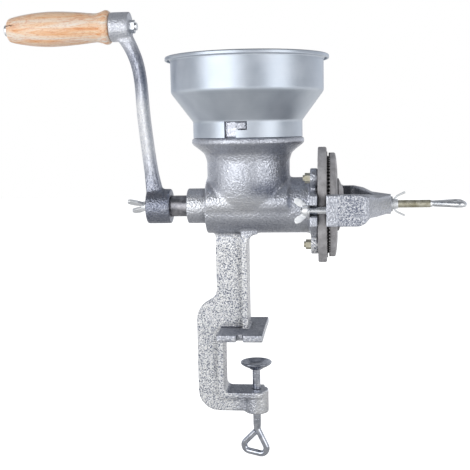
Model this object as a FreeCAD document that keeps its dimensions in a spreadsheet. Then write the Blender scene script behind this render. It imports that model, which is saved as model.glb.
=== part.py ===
import FreeCAD, Part
import os
import re

import Sketcher
from FreeCAD import Placement, Rotation, Vector

# Hand-cranked burr mill with a table clamp. Every piece is drawn from the point where the hopper
# axis meets the shaft axis: X runs along the shaft towards the burr plates, Y to the back, Z up.
# The finished pieces are then moved so that the origin is the middle of the upper jaw's underside.

sizes = {
    # place of the mill over the table edge
    "shaft_height": 110.4,
    "hopper_offset": 6.7,
    # clearances
    "running_gap": 0.05,
    "seat_gap": 0.1,
    "spigot_gap": 0.4,
    "flight_gap": 0.6,
    # hopper of sheet metal
    "sheet": 0.9,
    "rim_overhang": 5.4,
    "rim_top": 124.5,
    "lip_drop": 3.6,
    "wall_radius": 62.8,
    "shoulder": 95.2,
    "neck_radius": 44.9,
    "neck_top": 71.3,
    "slot_left": 14.4,
    "slot_right": 2.7,
    "slot_entry": 9.1,
    "slot_low": 63.4,
    "slot_high": 70.8,
    # feed throat of the casting
    "collar_top": 57.4,
    "bead_radius": 47.1,
    "bead_height": 6.0,
    "throat_radius": 34.8,
    "throat_wall": 5.2,
    "throat_low": 4.0,
    "taper_end": 41.0,
    "spigot_wall": 3.4,
    "spigot_rise": 13.2,
    # barrel, bearing and plate flange of the casting
    "barrel_radius": 23.4,
    "barrel_reach": 35.3,
    "rear_wall": 6.0,
    "bearing_radius": 14.9,
    "bearing_length": 16.8,
    "flange_face": 58.5,
    "flange_thickness": 6.1,
    "flange_radius": 30.0,
    "bolt_circle": 33.6,
    "lug_radius": 8.0,
    "ear_reach": 60.0,
    "ear_height": 25.0,
    "fork_slot": 8.0,
    # column and clamp frame of the casting, a web with a rib along its inner edge
    "column_left": 28.9,
    "column_right": 1.3,
    "web_thickness": 10.0,
    "rib_thickness": 5.0,
    "rib_width": 27.0,
    "jaw_left": 26.1,
    "jaw_right": 12.7,
    "jaw_depth": 73.0,
    "jaw_thickness": 6.0,
    "notch_width": 5.4,
    "notch_depth": 6.0,
    "spine_outer": 46.6,
    "spine_inner": 23.2,
    "corner_radius": 18.0,
    "inner_radius": 5.0,
    "flare_radius": 9.0,
    "clamp_opening": 49.8,
    "arm_height": 19.1,
    "clamp_axis": 3.8,
    "clamp_boss_radius": 10.4,
    "clamp_boss_drop": 1.4,
    # shaft and worm
    "shaft_radius": 9.0,
    "shaft_end": 80.0,
    "drive_square": 12.4,
    "flight_radius": 18.0,
    "flight_pitch": 24.0,
    "flight_root": 4.2,
    "flight_tip": 2.6,
    # crank and wooden grip
    "hub_right": 66.6,
    "hub_length": 20.6,
    "hub_radius": 14.8,
    "hub_cap": 4.0,
    "crank_throw": 151.6,
    "crank_lean": 27.0,
    "arm_half": 5.3,
    "arm_side": 7.5,
    "eye_radius": 12.3,
    "eye_length": 17.0,
    "spindle_radius": 3.2,
    "spindle_head": 4.8,
    "spindle_head_length": 3.8,
    "grip_length": 88.4,
    "grip_end_radius": 10.2,
    "grip_belly_radius": 14.6,
    "grip_waist_radius": 12.0,
    "grip_flare_radius": 14.3,
    "spindle_nut_radius": 5.6,
    "spindle_nut_length": 4.0,
    # burr plates
    "plate_thickness": 6.0,
    "plate_radius": 48.4,
    "burr_rise": 2.9,
    "burr_radius": 44.0,
    "burr_mouth": 20.0,
    "burr_gap": 1.0,
    "turning_radius": 43.6,
    "turning_thickness": 5.8,
    "carrier_radius": 22.0,
    "carrier_nose": 13.5,
    "carrier_length": 5.2,
    "pin_radius": 2.2,
    "pin_length": 33.0,
    "ball_radius": 4.0,
    "plate_bolt_radius": 2.5,
    "plate_bolt_head": 5.0,
    "plate_bolt_head_length": 2.6,
    "plate_bolt_end": 46.4,
    "nut_radius": 4.2,
    "nut_length": 4.4,
    # yoke that carries the adjusting screw
    "yoke_start": 65.2,
    "yoke_inner": 49.6,
    "yoke_outer": 59.6,
    "yoke_height": 24.6,
    "yoke_bend": 90.0,
    "yoke_shoulder": 99.0,
    "yoke_boss_start": 104.8,
    "yoke_boss_length": 14.0,
    "yoke_boss_radius": 8.4,
    "yoke_ear_length": 8.6,
    "yoke_ear_step": 1.4,
    "tie_offset": 54.6,
    "tie_radius": 2.8,
    "tie_end": 45.4,
    "tie_depth": 11.0,
    # wing nuts and their washers
    "washer_radius": 6.4,
    "washer_thickness": 1.2,
    "wing_hub_radius": 4.6,
    "wing_hub_length": 4.3,
    "wing_reach": 10.6,
    "wing_span": 10.2,
    "wing_thickness": 2.4,
    "crank_wing_reach": 14.6,
    "crank_wing_span": 13.0,
    "crank_screw_radius": 3.0,
    "crank_screw_length": 13.0,
    # adjusting screw
    "adjuster_radius": 3.3,
    "adjuster_end": 152.0,
    "adjuster_eye": 18.0,
    "adjuster_bend": 4.5,
    "adjuster_wire": 2.5,
    # clamp screw and its swivel cup
    "clamp_radius": 3.45,
    "clamp_gap": 25.4,
    "cup_radius": 13.5,
    "cup_height": 6.6,
    "cup_hollow": 3.4,
    "cup_neck": 6.2,
    "clamp_screw_end": 86.8,
    "clamp_eye": 14.2,
    "clamp_bend": 4.1,
    "clamp_wire": 2.6,
}

os.makedirs("parts", exist_ok=True)
doc = FreeCAD.newDocument("burr_mill")
sheet = doc.addObject("Spreadsheet::Sheet", "dims")
for row, (alias, value) in enumerate(sizes.items(), start=1):
    sheet.set("A%d" % row, alias)
    sheet.set("B%d" % row, str(value))
    sheet.setAlias("B%d" % row, alias)
doc.recompute()

nodes = []


def number(text):
    """Value of a sum of sizes and plain numbers, each term a product written without spaces."""
    total = 0.0
    sign = 1.0
    for term in text.split():
        if term in ("+", "-"):
            sign = 1.0 if term == "+" else -1.0
            continue
        product = sign
        for factor in term.split("*"):
            below = factor.startswith("-")
            name = factor.lstrip("-")
            amount = sizes[name] if name in sizes else float(name)
            product *= -amount if below else amount
        total += product
        sign = 1.0
    return total


def formula(text):
    """The same sum as a spreadsheet expression."""
    return re.sub(r"[a-z_]+", lambda word: "dims." + word.group(0), text)


def bind(thing, **expressions):
    for field, text in expressions.items():
        thing.setExpression(field.replace("__", "."), formula(text))


def place(thing, x="0", y="0", z="0"):
    bind(thing, Placement__Base__x=x, Placement__Base__y=y, Placement__Base__z=z)
    return thing


turns = {
    "x": Rotation(Vector(0, 1, 0), 90),
    "z": Rotation(),
}


def cylinder(name, axis, radius, length, x="0", y="0", z="0"):
    thing = doc.addObject("Part::Cylinder", name)
    thing.Placement = Placement(Vector(), turns[axis])
    bind(thing, Radius=radius, Height=length)
    return place(thing, x, y, z)


def cone(name, axis, radius, end_radius, length, x="0", y="0", z="0"):
    thing = doc.addObject("Part::Cone", name)
    thing.Placement = Placement(Vector(), turns[axis])
    bind(thing, Radius1=radius, Radius2=end_radius, Height=length)
    return place(thing, x, y, z)


def sphere(name, radius, x="0", y="0", z="0"):
    thing = doc.addObject("Part::Sphere", name)
    bind(thing, Radius=radius)
    return place(thing, x, y, z)


def funnel(name, radius, depth, top):
    """A throat that stays as wide along the shaft but narrows from front to back, down to the barrel."""
    upper = doc.addObject("Part::Circle", name + "_upper")
    bind(upper, Radius=radius)
    lower = doc.addObject("Part::Ellipse", name + "_lower")
    bind(lower, MajorRadius=radius, MinorRadius=depth)
    thing = doc.addObject("Part::Loft", name)
    thing.Sections = [place(upper, z=top), place(lower, z="-throat_low")]
    thing.Solid = True
    thing.Ruled = True
    return thing


def block(name, x, y, z):
    """A box between two limits on each axis."""
    thing = doc.addObject("Part::Box", name)
    bind(thing, Length=x[1] + " - (" + x[0] + ")", Width=y[1] + " - (" + y[0] + ")",
         Height=z[1] + " - (" + z[0] + ")")
    return place(thing, x[0], y[0], z[0])


def rounding(x, z, radius, side):
    """Chords of a quarter round between the upright edge at x and the level edge at z."""
    steps = (("0", "1"), ("0.034", "0.741"), ("0.134", "0.5"), ("0.293", "0.293"), ("0.5", "0.134"),
             ("0.741", "0.034"), ("1", "0"))
    return [(x + " + " + across + "*" + radius, z + " " + side + " " + along + "*" + radius)
            for across, along in steps]


def hexagon(name, radius, length, x, y, z):
    """A nut blank whose axis lies along the shaft."""
    thing = doc.addObject("Part::Prism", name)
    thing.Polygon = 6
    thing.Placement = Placement(Vector(), turns["x"])
    bind(thing, Circumradius=radius, Height=length)
    return place(thing, x, y, z)


def fuse(name, things):
    thing = doc.addObject("Part::MultiFuse", name)
    thing.Shapes = things
    return thing


def cut(name, base, tools):
    thing = doc.addObject("Part::Cut", name)
    thing.Base = base
    thing.Tool = tools[0] if len(tools) == 1 else fuse(name + "_voids", tools)
    return thing


def outline(body, name, plane, points):
    """A closed sketch of straight edges whose corners are held by the sizes."""
    sketch = body.newObject("Sketcher::SketchObject", name)
    support = [item for item in body.Origin.OriginFeatures if item.Role == plane][0]
    sketch.AttachmentSupport = (support, [""])
    sketch.MapMode = "FlatFace"
    corners = [Vector(number(across), number(along), 0) for across, along in points]
    count = len(corners)
    for index in range(count):
        sketch.addGeometry(Part.LineSegment(corners[index], corners[(index + 1) % count]))
    for index in range(count):
        sketch.addConstraint(Sketcher.Constraint("Coincident", index, 2, (index + 1) % count, 1))
    for index, (across, along) in enumerate(points):
        for kind, text in (("DistanceX", across), ("DistanceY", along)):
            held = Sketcher.Constraint(kind, -1, 1, index, 1, number(text))
            place_in_list = sketch.addConstraint(held)
            sketch.setExpression("Constraints[%d]" % place_in_list, formula(text))
    return sketch


def turned(name, points, plane="XZ_Plane", axis="V_Axis"):
    """A body turned about the plane's vertical or horizontal axis."""
    body = doc.addObject("PartDesign::Body", name)
    sketch = outline(body, name + "_profile", plane, points)
    doc.recompute()
    spin = body.newObject("PartDesign::Revolution", name + "_turned")
    spin.Profile = sketch
    spin.ReferenceAxis = (sketch, [axis])
    spin.Angle = 360
    body.Tip = spin
    return body


def slab(name, points, thickness, plane="XZ_Plane"):
    """A flat body of even thickness, half on each side of the plane."""
    body = doc.addObject("PartDesign::Body", name)
    sketch = outline(body, name + "_profile", plane, points)
    doc.recompute()
    pad = body.newObject("PartDesign::Pad", name + "_pad")
    pad.Profile = sketch
    pad.SideType = "Symmetric"
    bind(pad, Length=thickness)
    body.Tip = pad
    return body


def eye(name, side, bend, wire):
    """A rod end bent to a rounded triangle in the XZ plane, hanging from the origin."""
    body = doc.addObject("PartDesign::Body", name)
    half = "0.5*" + side
    drop = "-0.866*" + side
    low = drop + " - 2*" + bend
    shoulder = drop + " - 0.5*" + bend
    stops = [
        ("0", low),
        (half, low),
        (half + " + 0.866*" + bend, shoulder),
        ("0.866*" + bend, "-0.5*" + bend),
        ("-0.866*" + bend, "-0.5*" + bend),
        ("-" + half + " - 0.866*" + bend, shoulder),
        ("-" + half, low),
    ]
    middles = {1: (half, drop + " - " + bend), 3: ("0", "-" + bend), 5: ("-" + half, drop + " - " + bend)}
    path = body.newObject("Sketcher::SketchObject", name + "_path")
    planes = {item.Role: item for item in body.Origin.OriginFeatures}
    path.AttachmentSupport = (planes["XZ_Plane"], [""])
    path.MapMode = "FlatFace"
    points = [Vector(number(across), number(along), 0) for across, along in stops]
    count = len(points)
    for index in range(count):
        start = points[index]
        end = points[(index + 1) % count]
        if index in middles:
            middle = Vector(number(middles[index][0]), number(middles[index][1]), 0)
            outward = (start + end) * 0.5 - middle
            crown = middle + outward * (number(bend) / outward.Length)
            path.addGeometry(Part.Arc(start, crown, end))
        else:
            path.addGeometry(Part.LineSegment(start, end))
    for index, (across, along) in enumerate(stops):
        before = (index - 1) % count
        path.addConstraint(Sketcher.Constraint("Coincident", before, 2, index, 1))
        for kind, text in (("DistanceX", across), ("DistanceY", along)):
            held = Sketcher.Constraint(kind, -1, 1, index, 1, number(text))
            path.setExpression("Constraints[%d]" % path.addConstraint(held), formula(text))
        if index in middles:
            held = Sketcher.Constraint("Radius", index, number(bend))
            path.setExpression("Constraints[%d]" % path.addConstraint(held), formula(bend))
    section = body.newObject("Sketcher::SketchObject", name + "_section")
    section.AttachmentSupport = (planes["YZ_Plane"], [""])
    section.MapMode = "FlatFace"
    section.addGeometry(Part.Circle(Vector(0, number(low), 0), Vector(0, 0, 1), number(wire)))
    held = [
        (Sketcher.Constraint("DistanceX", -1, 1, 0, 3, 0.0), "0"),
        (Sketcher.Constraint("DistanceY", -1, 1, 0, 3, number(low)), low),
        (Sketcher.Constraint("Radius", 0, number(wire)), wire),
    ]
    for constraint, text in held:
        section.setExpression("Constraints[%d]" % section.addConstraint(constraint), formula(text))
    doc.recompute()
    loop = body.newObject("PartDesign::AdditivePipe", name + "_loop")
    loop.Profile = section
    loop.Spine = (path, [])
    body.Tip = loop
    return body


def wings(name, reach, span):
    """Two leaves that stand out from a wing nut's hub, drawn with the hub's foot at the origin."""
    pair = []
    for label, side in (("upper", ""), ("lower", "-")):
        points = [
            ("0.05*" + reach, side + "0.20*" + span),
            ("0.14*" + reach, side + "0.54*" + span),
            ("0.50*" + reach, side + "0.88*" + span),
            ("0.78*" + reach, side + "1.00*" + span),
            ("0.93*" + reach, side + "0.97*" + span),
            ("1.00*" + reach, side + "0.80*" + span),
            ("0.98*" + reach, side + "0.58*" + span),
            ("0.74*" + reach, side + "0.38*" + span),
            ("0.36*" + reach, side + "0.20*" + span),
        ]
        pair.append(slab(name + "_" + label + "_wing", points, "wing_thickness"))
    return pair


def wing_nut(label, bore, x, y, turn):
    """A wing nut on a bolt, its foot at the given place and its leaves pointing away."""
    hub = cone(label + "_hub", "x", "wing_hub_radius", "0.85*wing_hub_radius", "wing_hub_length")
    solid = fuse(label + "_solid", [hub] + wings(label, "wing_reach", "wing_span"))
    hole = cylinder(label + "_hole", "x", bore, "wing_hub_length + wing_reach + 2", "-1")
    finish(cut(label + "_nut", solid, [hole]), label, x, y, "0", turn)


def washer(label, bore, x, y):
    disc = cylinder(label + "_disc", "x", "washer_radius", "washer_thickness", x, y)
    hole = cylinder(label + "_hole", "x", bore, "washer_thickness + 2", x + " - 1", y)
    finish(cut(label + "_ring", disc, [hole]), label)


def finish(thing, label, x="0", y="0", z="0", turn=Rotation()):
    """Names a finished piece and moves it from the shaft's axes to the clamp jaw."""
    thing.Label = label
    thing.Placement = Placement(Vector(), turn)
    place(thing, "hopper_offset + " + x, y, "shaft_height + " + z)
    nodes.append(thing)


# Mill body: one casting of throat, barrel, bearing, plate flange, column and clamp frame
spigot = "neck_radius - sheet - spigot_gap"
throat = turned("throat", [
    ("0", "collar_top + spigot_rise"),
    (spigot, "collar_top + spigot_rise"),
    (spigot, "collar_top"),
    ("bead_radius - 1.3", "collar_top"),
    ("bead_radius", "collar_top - 1.4"),
    ("bead_radius", "collar_top - 0.75*bead_height"),
    ("bead_radius - 1.4", "collar_top - bead_height"),
    ("throat_radius + 5.6", "collar_top - bead_height - 4"),
    ("throat_radius + 2", "collar_top - bead_height - 7.2"),
    ("throat_radius", "taper_end - 3"),
    ("0", "taper_end - 3"),
])
belly = funnel("belly", "throat_radius", "barrel_radius - 0.4", "taper_end - 3")
barrel = cylinder("barrel", "x", "barrel_radius", "barrel_reach + flange_face", "-barrel_reach")
bearing = cylinder("bearing", "x", "bearing_radius", "bearing_length + 1", "-barrel_reach - bearing_length")
flange_back = "flange_face - flange_thickness"
flange = cylinder("flange", "x", "flange_radius", "flange_thickness", flange_back)
lug_places = (
    ("front", "-0.7071*bolt_circle", "0.7071*bolt_circle"),
    ("back", "0.9659*bolt_circle", "0.2588*bolt_circle"),
    ("low", "-0.2588*bolt_circle", "-0.9659*bolt_circle"),
)
lugs = [cylinder("lug_" + label, "x", "lug_radius", "flange_thickness", flange_back, y, z)
        for label, y, z in lug_places]
ears = block("ears", (flange_back, "flange_face"), ("-ear_reach", "ear_reach"),
             ("-0.5*ear_height", "0.5*ear_height"))

under = "-shaft_height"
arm_top = "-shaft_height - clamp_opening"
arm_foot = arm_top + " - arm_height"
web = slab("web", [
    ("-column_left", "-5"),
    ("-column_left", under + " + 38"),
    ("-0.95*column_left - 0.05*spine_outer", under + " + 33.8"),
    ("-0.77*column_left - 0.23*spine_outer", under + " + 30.3"),
    ("-0.32*column_left - 0.68*spine_outer", under + " + 25.4"),
    ("-0.15*column_left - 0.85*spine_outer", under + " + 21.9"),
    ("-0.03*column_left - 0.97*spine_outer", under + " + 17"),
    ("-spine_outer", under + " + 12.4"),
] + rounding("-spine_outer", arm_foot, "corner_radius", "+") + [
    ("clamp_axis", arm_foot),
    ("clamp_axis", arm_top + " - 1"),
    ("-spine_inner - 1", arm_top + " - 1"),
    ("-spine_inner - 1", under + " + 1"),
    ("-column_right - 1", under + " + 1"),
    ("-column_right - 1", "-5"),
], "web_thickness")
half_rib = ("-0.5*rib_width", "0.5*rib_width")
column_rib = block("column_rib", ("-column_right - rib_thickness", "-column_right"), half_rib,
                   (under + " + 1", "-15"))
spine_rib = block("spine_rib", ("-spine_inner - rib_thickness", "-spine_inner"), half_rib,
                  (arm_top + " - 1", under + " + 1"))
arm_rib = block("arm_rib", ("-spine_inner - rib_thickness", "clamp_axis + 0.6*clamp_boss_radius"),
                half_rib, (arm_top + " - rib_thickness", arm_top))
inner_corner = slab("inner_corner", rounding("-spine_inner", arm_top, "inner_radius", "+") + [
    ("-spine_inner + inner_radius", arm_top + " - 1"),
    ("-spine_inner - 1", arm_top + " - 1"),
    ("-spine_inner - 1", arm_top + " + inner_radius"),
], "rib_width")
rib_flare = slab("rib_flare", rounding("-column_right", "-barrel_radius", "flare_radius", "-") + [
    ("-column_right + flare_radius", "-15"),
    ("-column_right - 1", "-15"),
    ("-column_right - 1", "-barrel_radius - flare_radius"),
], "rib_width")
clamp_boss = cylinder("clamp_boss", "z", "clamp_boss_radius", "arm_height + clamp_boss_drop",
                      "clamp_axis", "0", arm_foot + " - clamp_boss_drop")
jaw = block("jaw", ("-jaw_left", "jaw_right"), ("-0.5*jaw_depth", "0.5*jaw_depth"),
            (under, under + " + jaw_thickness"))
bayonet_lugs = [
    block("bayonet_front", ("-slot_right - 1.6", "slot_right - 0.5"),
          ("-neck_radius + 0.3", "-neck_radius + 3"), ("slot_low + 0.7", "slot_high - 0.7")),
    block("bayonet_back", ("-slot_right + 0.5", "slot_right + 1.6"),
          ("neck_radius - 3", "neck_radius - 0.3"), ("slot_low + 0.7", "slot_high - 0.7")),
]
casting = fuse("casting", [throat, belly, barrel, bearing, flange, ears, web, column_rib, spine_rib,
                           arm_rib, inner_corner, rib_flare, clamp_boss, jaw] + lugs + bayonet_lugs)

bore = "flight_radius + flight_gap"
throat_bore = "throat_radius - throat_wall"
hollow = turned("hollow", [
    ("0", "collar_top + spigot_rise + 1"),
    (spigot + " - spigot_wall", "collar_top + spigot_rise + 1"),
    (spigot + " - spigot_wall", "collar_top - 4"),
    (throat_bore, "taper_end - 1"),
    (throat_bore, "taper_end - 3"),
    ("0", "taper_end - 3"),
])
hollow_end = funnel("hollow_end", throat_bore, "barrel_radius - throat_wall", "taper_end - 3")
barrel_bore = cylinder("barrel_bore", "x", bore, "barrel_reach - rear_wall + flange_face + 1",
                       "-barrel_reach + rear_wall")
bearing_bore = cylinder("bearing_bore", "x", "shaft_radius + running_gap", "bearing_length + rear_wall + 2",
                        "-barrel_reach - bearing_length - 1")
bolt_holes = [cylinder("bolt_hole_" + label, "x", "plate_bolt_radius + running_gap", "flange_thickness + 2",
                       flange_back + " - 1", y, z) for label, y, z in lug_places]
through_flange = (flange_back + " - 1", "flange_face + 1")
fork_height = ("-0.5*fork_slot", "0.5*fork_slot")
fork_slots = [
    block("fork_front", through_flange, ("-ear_reach - 1", "-tie_offset + 0.5*fork_slot"), fork_height),
    block("fork_back", through_flange, ("tie_offset - 0.5*fork_slot", "ear_reach + 1"), fork_height),
]
clamp_bore = cylinder("clamp_bore", "z", "clamp_radius + running_gap", "arm_height + clamp_boss_drop + 2",
                      "clamp_axis", "0", arm_foot + " - clamp_boss_drop - 1")
jaw_middle = "0.5*jaw_right - 0.5*jaw_left"
notch = block("notch", (jaw_middle + " - 0.5*notch_width", jaw_middle + " + 0.5*notch_width"),
              ("-0.5*jaw_depth - 1", "-0.5*jaw_depth + notch_depth"),
              (under + " - 1", under + " + jaw_thickness + 1"))
finish(cut("mill_casting", casting, [hollow, hollow_end, barrel_bore, bearing_bore, clamp_bore, notch]
           + bolt_holes + fork_slots), "mill_body")

# Hopper: one sheet-metal shell, its neck slipped over the spigot and held by two L-shaped slots
shell = turned("shell", [
    ("neck_radius", "collar_top + seat_gap"),
    ("neck_radius", "neck_top"),
    ("wall_radius", "shoulder"),
    ("wall_radius", "rim_top - sheet"),
    ("wall_radius + rim_overhang - sheet", "rim_top - sheet"),
    ("wall_radius + rim_overhang - sheet", "rim_top - lip_drop"),
    ("wall_radius + rim_overhang", "rim_top - lip_drop"),
    ("wall_radius + rim_overhang", "rim_top"),
    ("wall_radius - sheet", "rim_top"),
    ("wall_radius - sheet", "shoulder"),
    ("neck_radius - sheet", "neck_top"),
    ("neck_radius - sheet", "collar_top + seat_gap"),
])
front_wall = ("-neck_radius - 2", "-neck_radius + 6")
back_wall = ("neck_radius - 6", "neck_radius + 2")
across = ("slot_low", "slot_high")
upward = ("collar_top - 1", "slot_low + 1")
slots = [
    block("slot_front", ("-slot_left", "slot_right"), front_wall, across),
    block("entry_front", ("-slot_left", "-slot_left + slot_entry"), front_wall, upward),
    block("slot_back", ("-slot_right", "slot_left"), back_wall, across),
    block("entry_back", ("slot_left - slot_entry", "slot_left"), back_wall, upward),
]
finish(cut("hopper_shell", shell, slots), "hopper")

# Auger: shaft and feed worm in one casting, squared at the crank end
square_start = "-hub_right - hub_length + hub_cap"
half_square = ("-0.5*drive_square", "0.5*drive_square")
square = block("drive_end", (square_start + " + seat_gap", "-hub_right + 0.4"), half_square, half_square)
shaft = cylinder("shaft", "x", "shaft_radius", "hub_right - 0.4 + shaft_end", "-hub_right + 0.4")
flight_start = "-barrel_reach + rear_wall + 1.5"
flight = doc.addObject("PartDesign::Body", "flight")
flight_profile = outline(flight, "flight_profile", "XZ_Plane", [
    (flight_start, "shaft_radius - 1"),
    (flight_start + " + flight_root", "shaft_radius - 1"),
    (flight_start + " + 0.5*flight_root + 0.5*flight_tip", "flight_radius"),
    (flight_start + " + 0.5*flight_root - 0.5*flight_tip", "flight_radius"),
])
doc.recompute()
worm = flight.newObject("PartDesign::AdditiveHelix", "flight_helix")
worm.Profile = flight_profile
worm.ReferenceAxis = (flight_profile, ["H_Axis"])
worm.Mode = 0
bind(worm, Pitch="flight_pitch", Height="flange_face + barrel_reach - rear_wall - flight_root - 6")
flight.Tip = worm
shaft_tap = cylinder("shaft_tap", "x", "crank_screw_radius + running_gap", "crank_screw_length",
                     square_start + " - 1")
turning_back = "flange_face + plate_thickness + burr_rise + burr_gap + turning_thickness"
pin_hole = cylinder("pin_hole", "z", "pin_radius", "4*shaft_radius",
                    turning_back + " + 0.5*carrier_length", "0", "-2*shaft_radius")
finish(cut("auger_shaft", fuse("auger_solid", [shaft, square, flight]), [shaft_tap, pin_hole]), "auger")

# Crank: a bar swept outwards in an easy S from the hub to the eye of the grip
crank = doc.addObject("PartDesign::Body", "crank_bar")
hub_middle = "-hub_right - 0.62*hub_length"
stations = (
    ("0", hub_middle, "1.25*arm_half"),
    ("0.13*crank_throw", hub_middle + " - 0.10*crank_lean", "1.10*arm_half"),
    ("0.33*crank_throw", hub_middle + " - 0.24*crank_lean", "1.00*arm_half"),
    ("0.56*crank_throw", hub_middle + " - 0.36*crank_lean", "0.98*arm_half"),
    ("0.72*crank_throw", hub_middle + " - 0.42*crank_lean", "0.95*arm_half"),
    ("0.84*crank_throw", hub_middle + " - 0.58*crank_lean", "1.05*arm_half"),
    ("0.92*crank_throw", hub_middle + " - 0.80*crank_lean", "1.20*arm_half"),
    ("crank_throw", hub_middle + " - crank_lean", "1.25*arm_half"),
)
sections = []
for index, (height, middle, half) in enumerate(stations):
    section = outline(crank, "crank_section_%d" % index, "XY_Plane", [
        (middle + " - " + half, "-arm_side"),
        (middle + " + " + half, "-arm_side"),
        (middle + " + " + half, "arm_side"),
        (middle + " - " + half, "arm_side"),
    ])
    section.setExpression("AttachmentOffset.Base.z", formula(height))
    sections.append(section)
doc.recompute()
bar = crank.newObject("PartDesign::AdditiveLoft", "crank_loft")
bar.Profile = sections[0]
bar.Sections = sections[1:]
crank.Tip = bar
crank_hub = cylinder("crank_hub", "x", "hub_radius", "hub_length", "-hub_right - hub_length")
eye_start = hub_middle + " - crank_lean - 0.5*eye_length"
crank_eye = cylinder("crank_eye", "x", "eye_radius", "eye_length", eye_start, "0", "crank_throw")
half_hole = ("-0.5*drive_square - running_gap", "0.5*drive_square + running_gap")
square_hole = block("square_hole", (square_start, "-hub_right + 1"), half_hole, half_hole)
screw_hole = cylinder("screw_hole", "x", "crank_screw_radius + 2*running_gap", "hub_cap + 2",
                      "-hub_right - hub_length - 1")
spindle_hole = cylinder("spindle_hole", "x", "spindle_radius", "eye_length + 2", eye_start + " - 1",
                        "0", "crank_throw")
finish(cut("crank_casting", fuse("crank_solid", [crank, crank_hub, crank_eye]),
           [square_hole, screw_hole, spindle_hole]), "crank_arm")

# Wing screw that holds the crank on the squared shaft
hub_outer = "-hub_right - hub_length"
washer("crank_washer", "crank_screw_radius + 2*running_gap",
       hub_outer + " - seat_gap - washer_thickness", "0")
wing_foot = hub_outer + " - 2*seat_gap - washer_thickness"
crank_wing_hub = cone("crank_wing_hub", "x", "wing_hub_radius", "0.85*wing_hub_radius", "wing_hub_length")
crank_wings = wings("crank_screw", "crank_wing_reach", "crank_wing_span")
crank_thread = cylinder("crank_thread", "x", "crank_screw_radius",
                        "crank_screw_length + hub_cap + washer_thickness - 3",
                        "-crank_screw_length - hub_cap + 1.8")
finish(fuse("crank_screw", [crank_wing_hub, crank_thread] + crank_wings), "crank_wing_screw",
       wing_foot, "0", "0", Rotation(Vector(1, 0, 0), 62) * Rotation(Vector(0, 0, 1), 180))

# Turned wooden grip on a headed spindle that is fixed in the crank's eye
grip_right = eye_start + " - seat_gap"
grip_left = eye_start + " - seat_gap - grip_length"
spindle_bore = "spindle_radius + running_gap"
grip = turned("grip", [
    (grip_left, spindle_bore),
    (grip_left, "0.86*grip_end_radius"),
    (grip_left + " + 0.02*grip_length", "grip_end_radius"),
    (grip_left + " + 0.10*grip_length", "grip_end_radius + 1.6"),
    (grip_left + " + 0.22*grip_length", "grip_belly_radius - 1.2"),
    (grip_left + " + 0.34*grip_length", "grip_belly_radius - 0.25"),
    (grip_left + " + 0.44*grip_length", "grip_belly_radius"),
    (grip_left + " + 0.56*grip_length", "grip_belly_radius - 0.35"),
    (grip_left + " + 0.70*grip_length", "grip_belly_radius - 1.2"),
    (grip_left + " + 0.81*grip_length", "grip_waist_radius + 0.3"),
    (grip_left + " + 0.87*grip_length", "grip_waist_radius"),
    (grip_left + " + 0.92*grip_length", "grip_flare_radius - 1.1"),
    (grip_left + " + 0.96*grip_length", "grip_flare_radius"),
    (grip_left + " + 0.985*grip_length", "grip_flare_radius - 0.3"),
    (grip_right, "grip_flare_radius - 1.6"),
    (grip_right, spindle_bore),
], axis="H_Axis")
finish(grip, "handle_grip", "0", "0", "crank_throw")
spindle_start = grip_left + " - 2*seat_gap - spindle_head_length"
spindle_length = "spindle_head_length + grip_length + eye_length + 3*seat_gap + spindle_nut_length + 2"
spindle_rod = cylinder("spindle_rod", "x", "spindle_radius", spindle_length, spindle_start,
                       "0", "crank_throw")
spindle_cap = cylinder("spindle_cap", "x", "spindle_head", "spindle_head_length", spindle_start,
                       "0", "crank_throw")
finish(fuse("spindle", [spindle_rod, spindle_cap]), "handle_spindle")
nut_start = eye_start + " + eye_length"
spindle_nut = hexagon("spindle_nut_blank", "spindle_nut_radius", "spindle_nut_length", nut_start,
                      "0", "crank_throw")
spindle_nut_hole = cylinder("spindle_nut_hole", "x", "spindle_radius", "spindle_nut_length + 2",
                            nut_start + " - 1", "0", "crank_throw")
finish(cut("spindle_hexagon", spindle_nut, [spindle_nut_hole]), "spindle_nut")

# Burr plates: the fixed one is bolted to the flange, the turning one rides on the shaft
burr_face = "flange_face + plate_thickness + burr_rise"
plate = turned("plate", [
    ("flange_face", "burr_mouth"),
    ("flange_face", "plate_radius"),
    ("flange_face + plate_thickness", "plate_radius"),
    ("flange_face + plate_thickness", "burr_radius"),
    (burr_face, "burr_radius"),
    (burr_face, "burr_mouth"),
], axis="H_Axis")
head_seat = burr_face + " - 2*plate_bolt_head_length"
plate_holes = []
for label, y, z in lug_places:
    plate_holes.append(cylinder("plate_hole_" + label, "x", "plate_bolt_radius + running_gap",
                                "2*plate_thickness", "flange_face - 1", y, z))
    plate_holes.append(cylinder("head_pocket_" + label, "x", "plate_bolt_head + 2*running_gap",
                                "2*plate_bolt_head_length + 1", head_seat, y, z))
finish(cut("fixed_burr", plate, plate_holes), "stationary_plate")
plate_bolts = []
plate_nuts = []
nut_holes = []
nut_foot = flange_back + " - nut_length"
for label, y, z in lug_places:
    plate_bolts.append(cylinder("plate_bolt_" + label, "x", "plate_bolt_radius",
                                head_seat + " + 1 - plate_bolt_end", "plate_bolt_end", y, z))
    plate_bolts.append(cylinder("plate_head_" + label, "x", "plate_bolt_head", "plate_bolt_head_length",
                                head_seat, y, z))
    plate_nuts.append(hexagon("plate_nut_" + label, "nut_radius", "nut_length", nut_foot, y, z))
    nut_holes.append(cylinder("nut_hole_" + label, "x", "plate_bolt_radius", "nut_length + 2",
                              nut_foot + " - 1", y, z))
finish(fuse("plate_bolt_set", plate_bolts), "plate_bolts")
finish(cut("plate_nut_set", fuse("plate_nut_blanks", plate_nuts), nut_holes), "plate_nuts")

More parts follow.
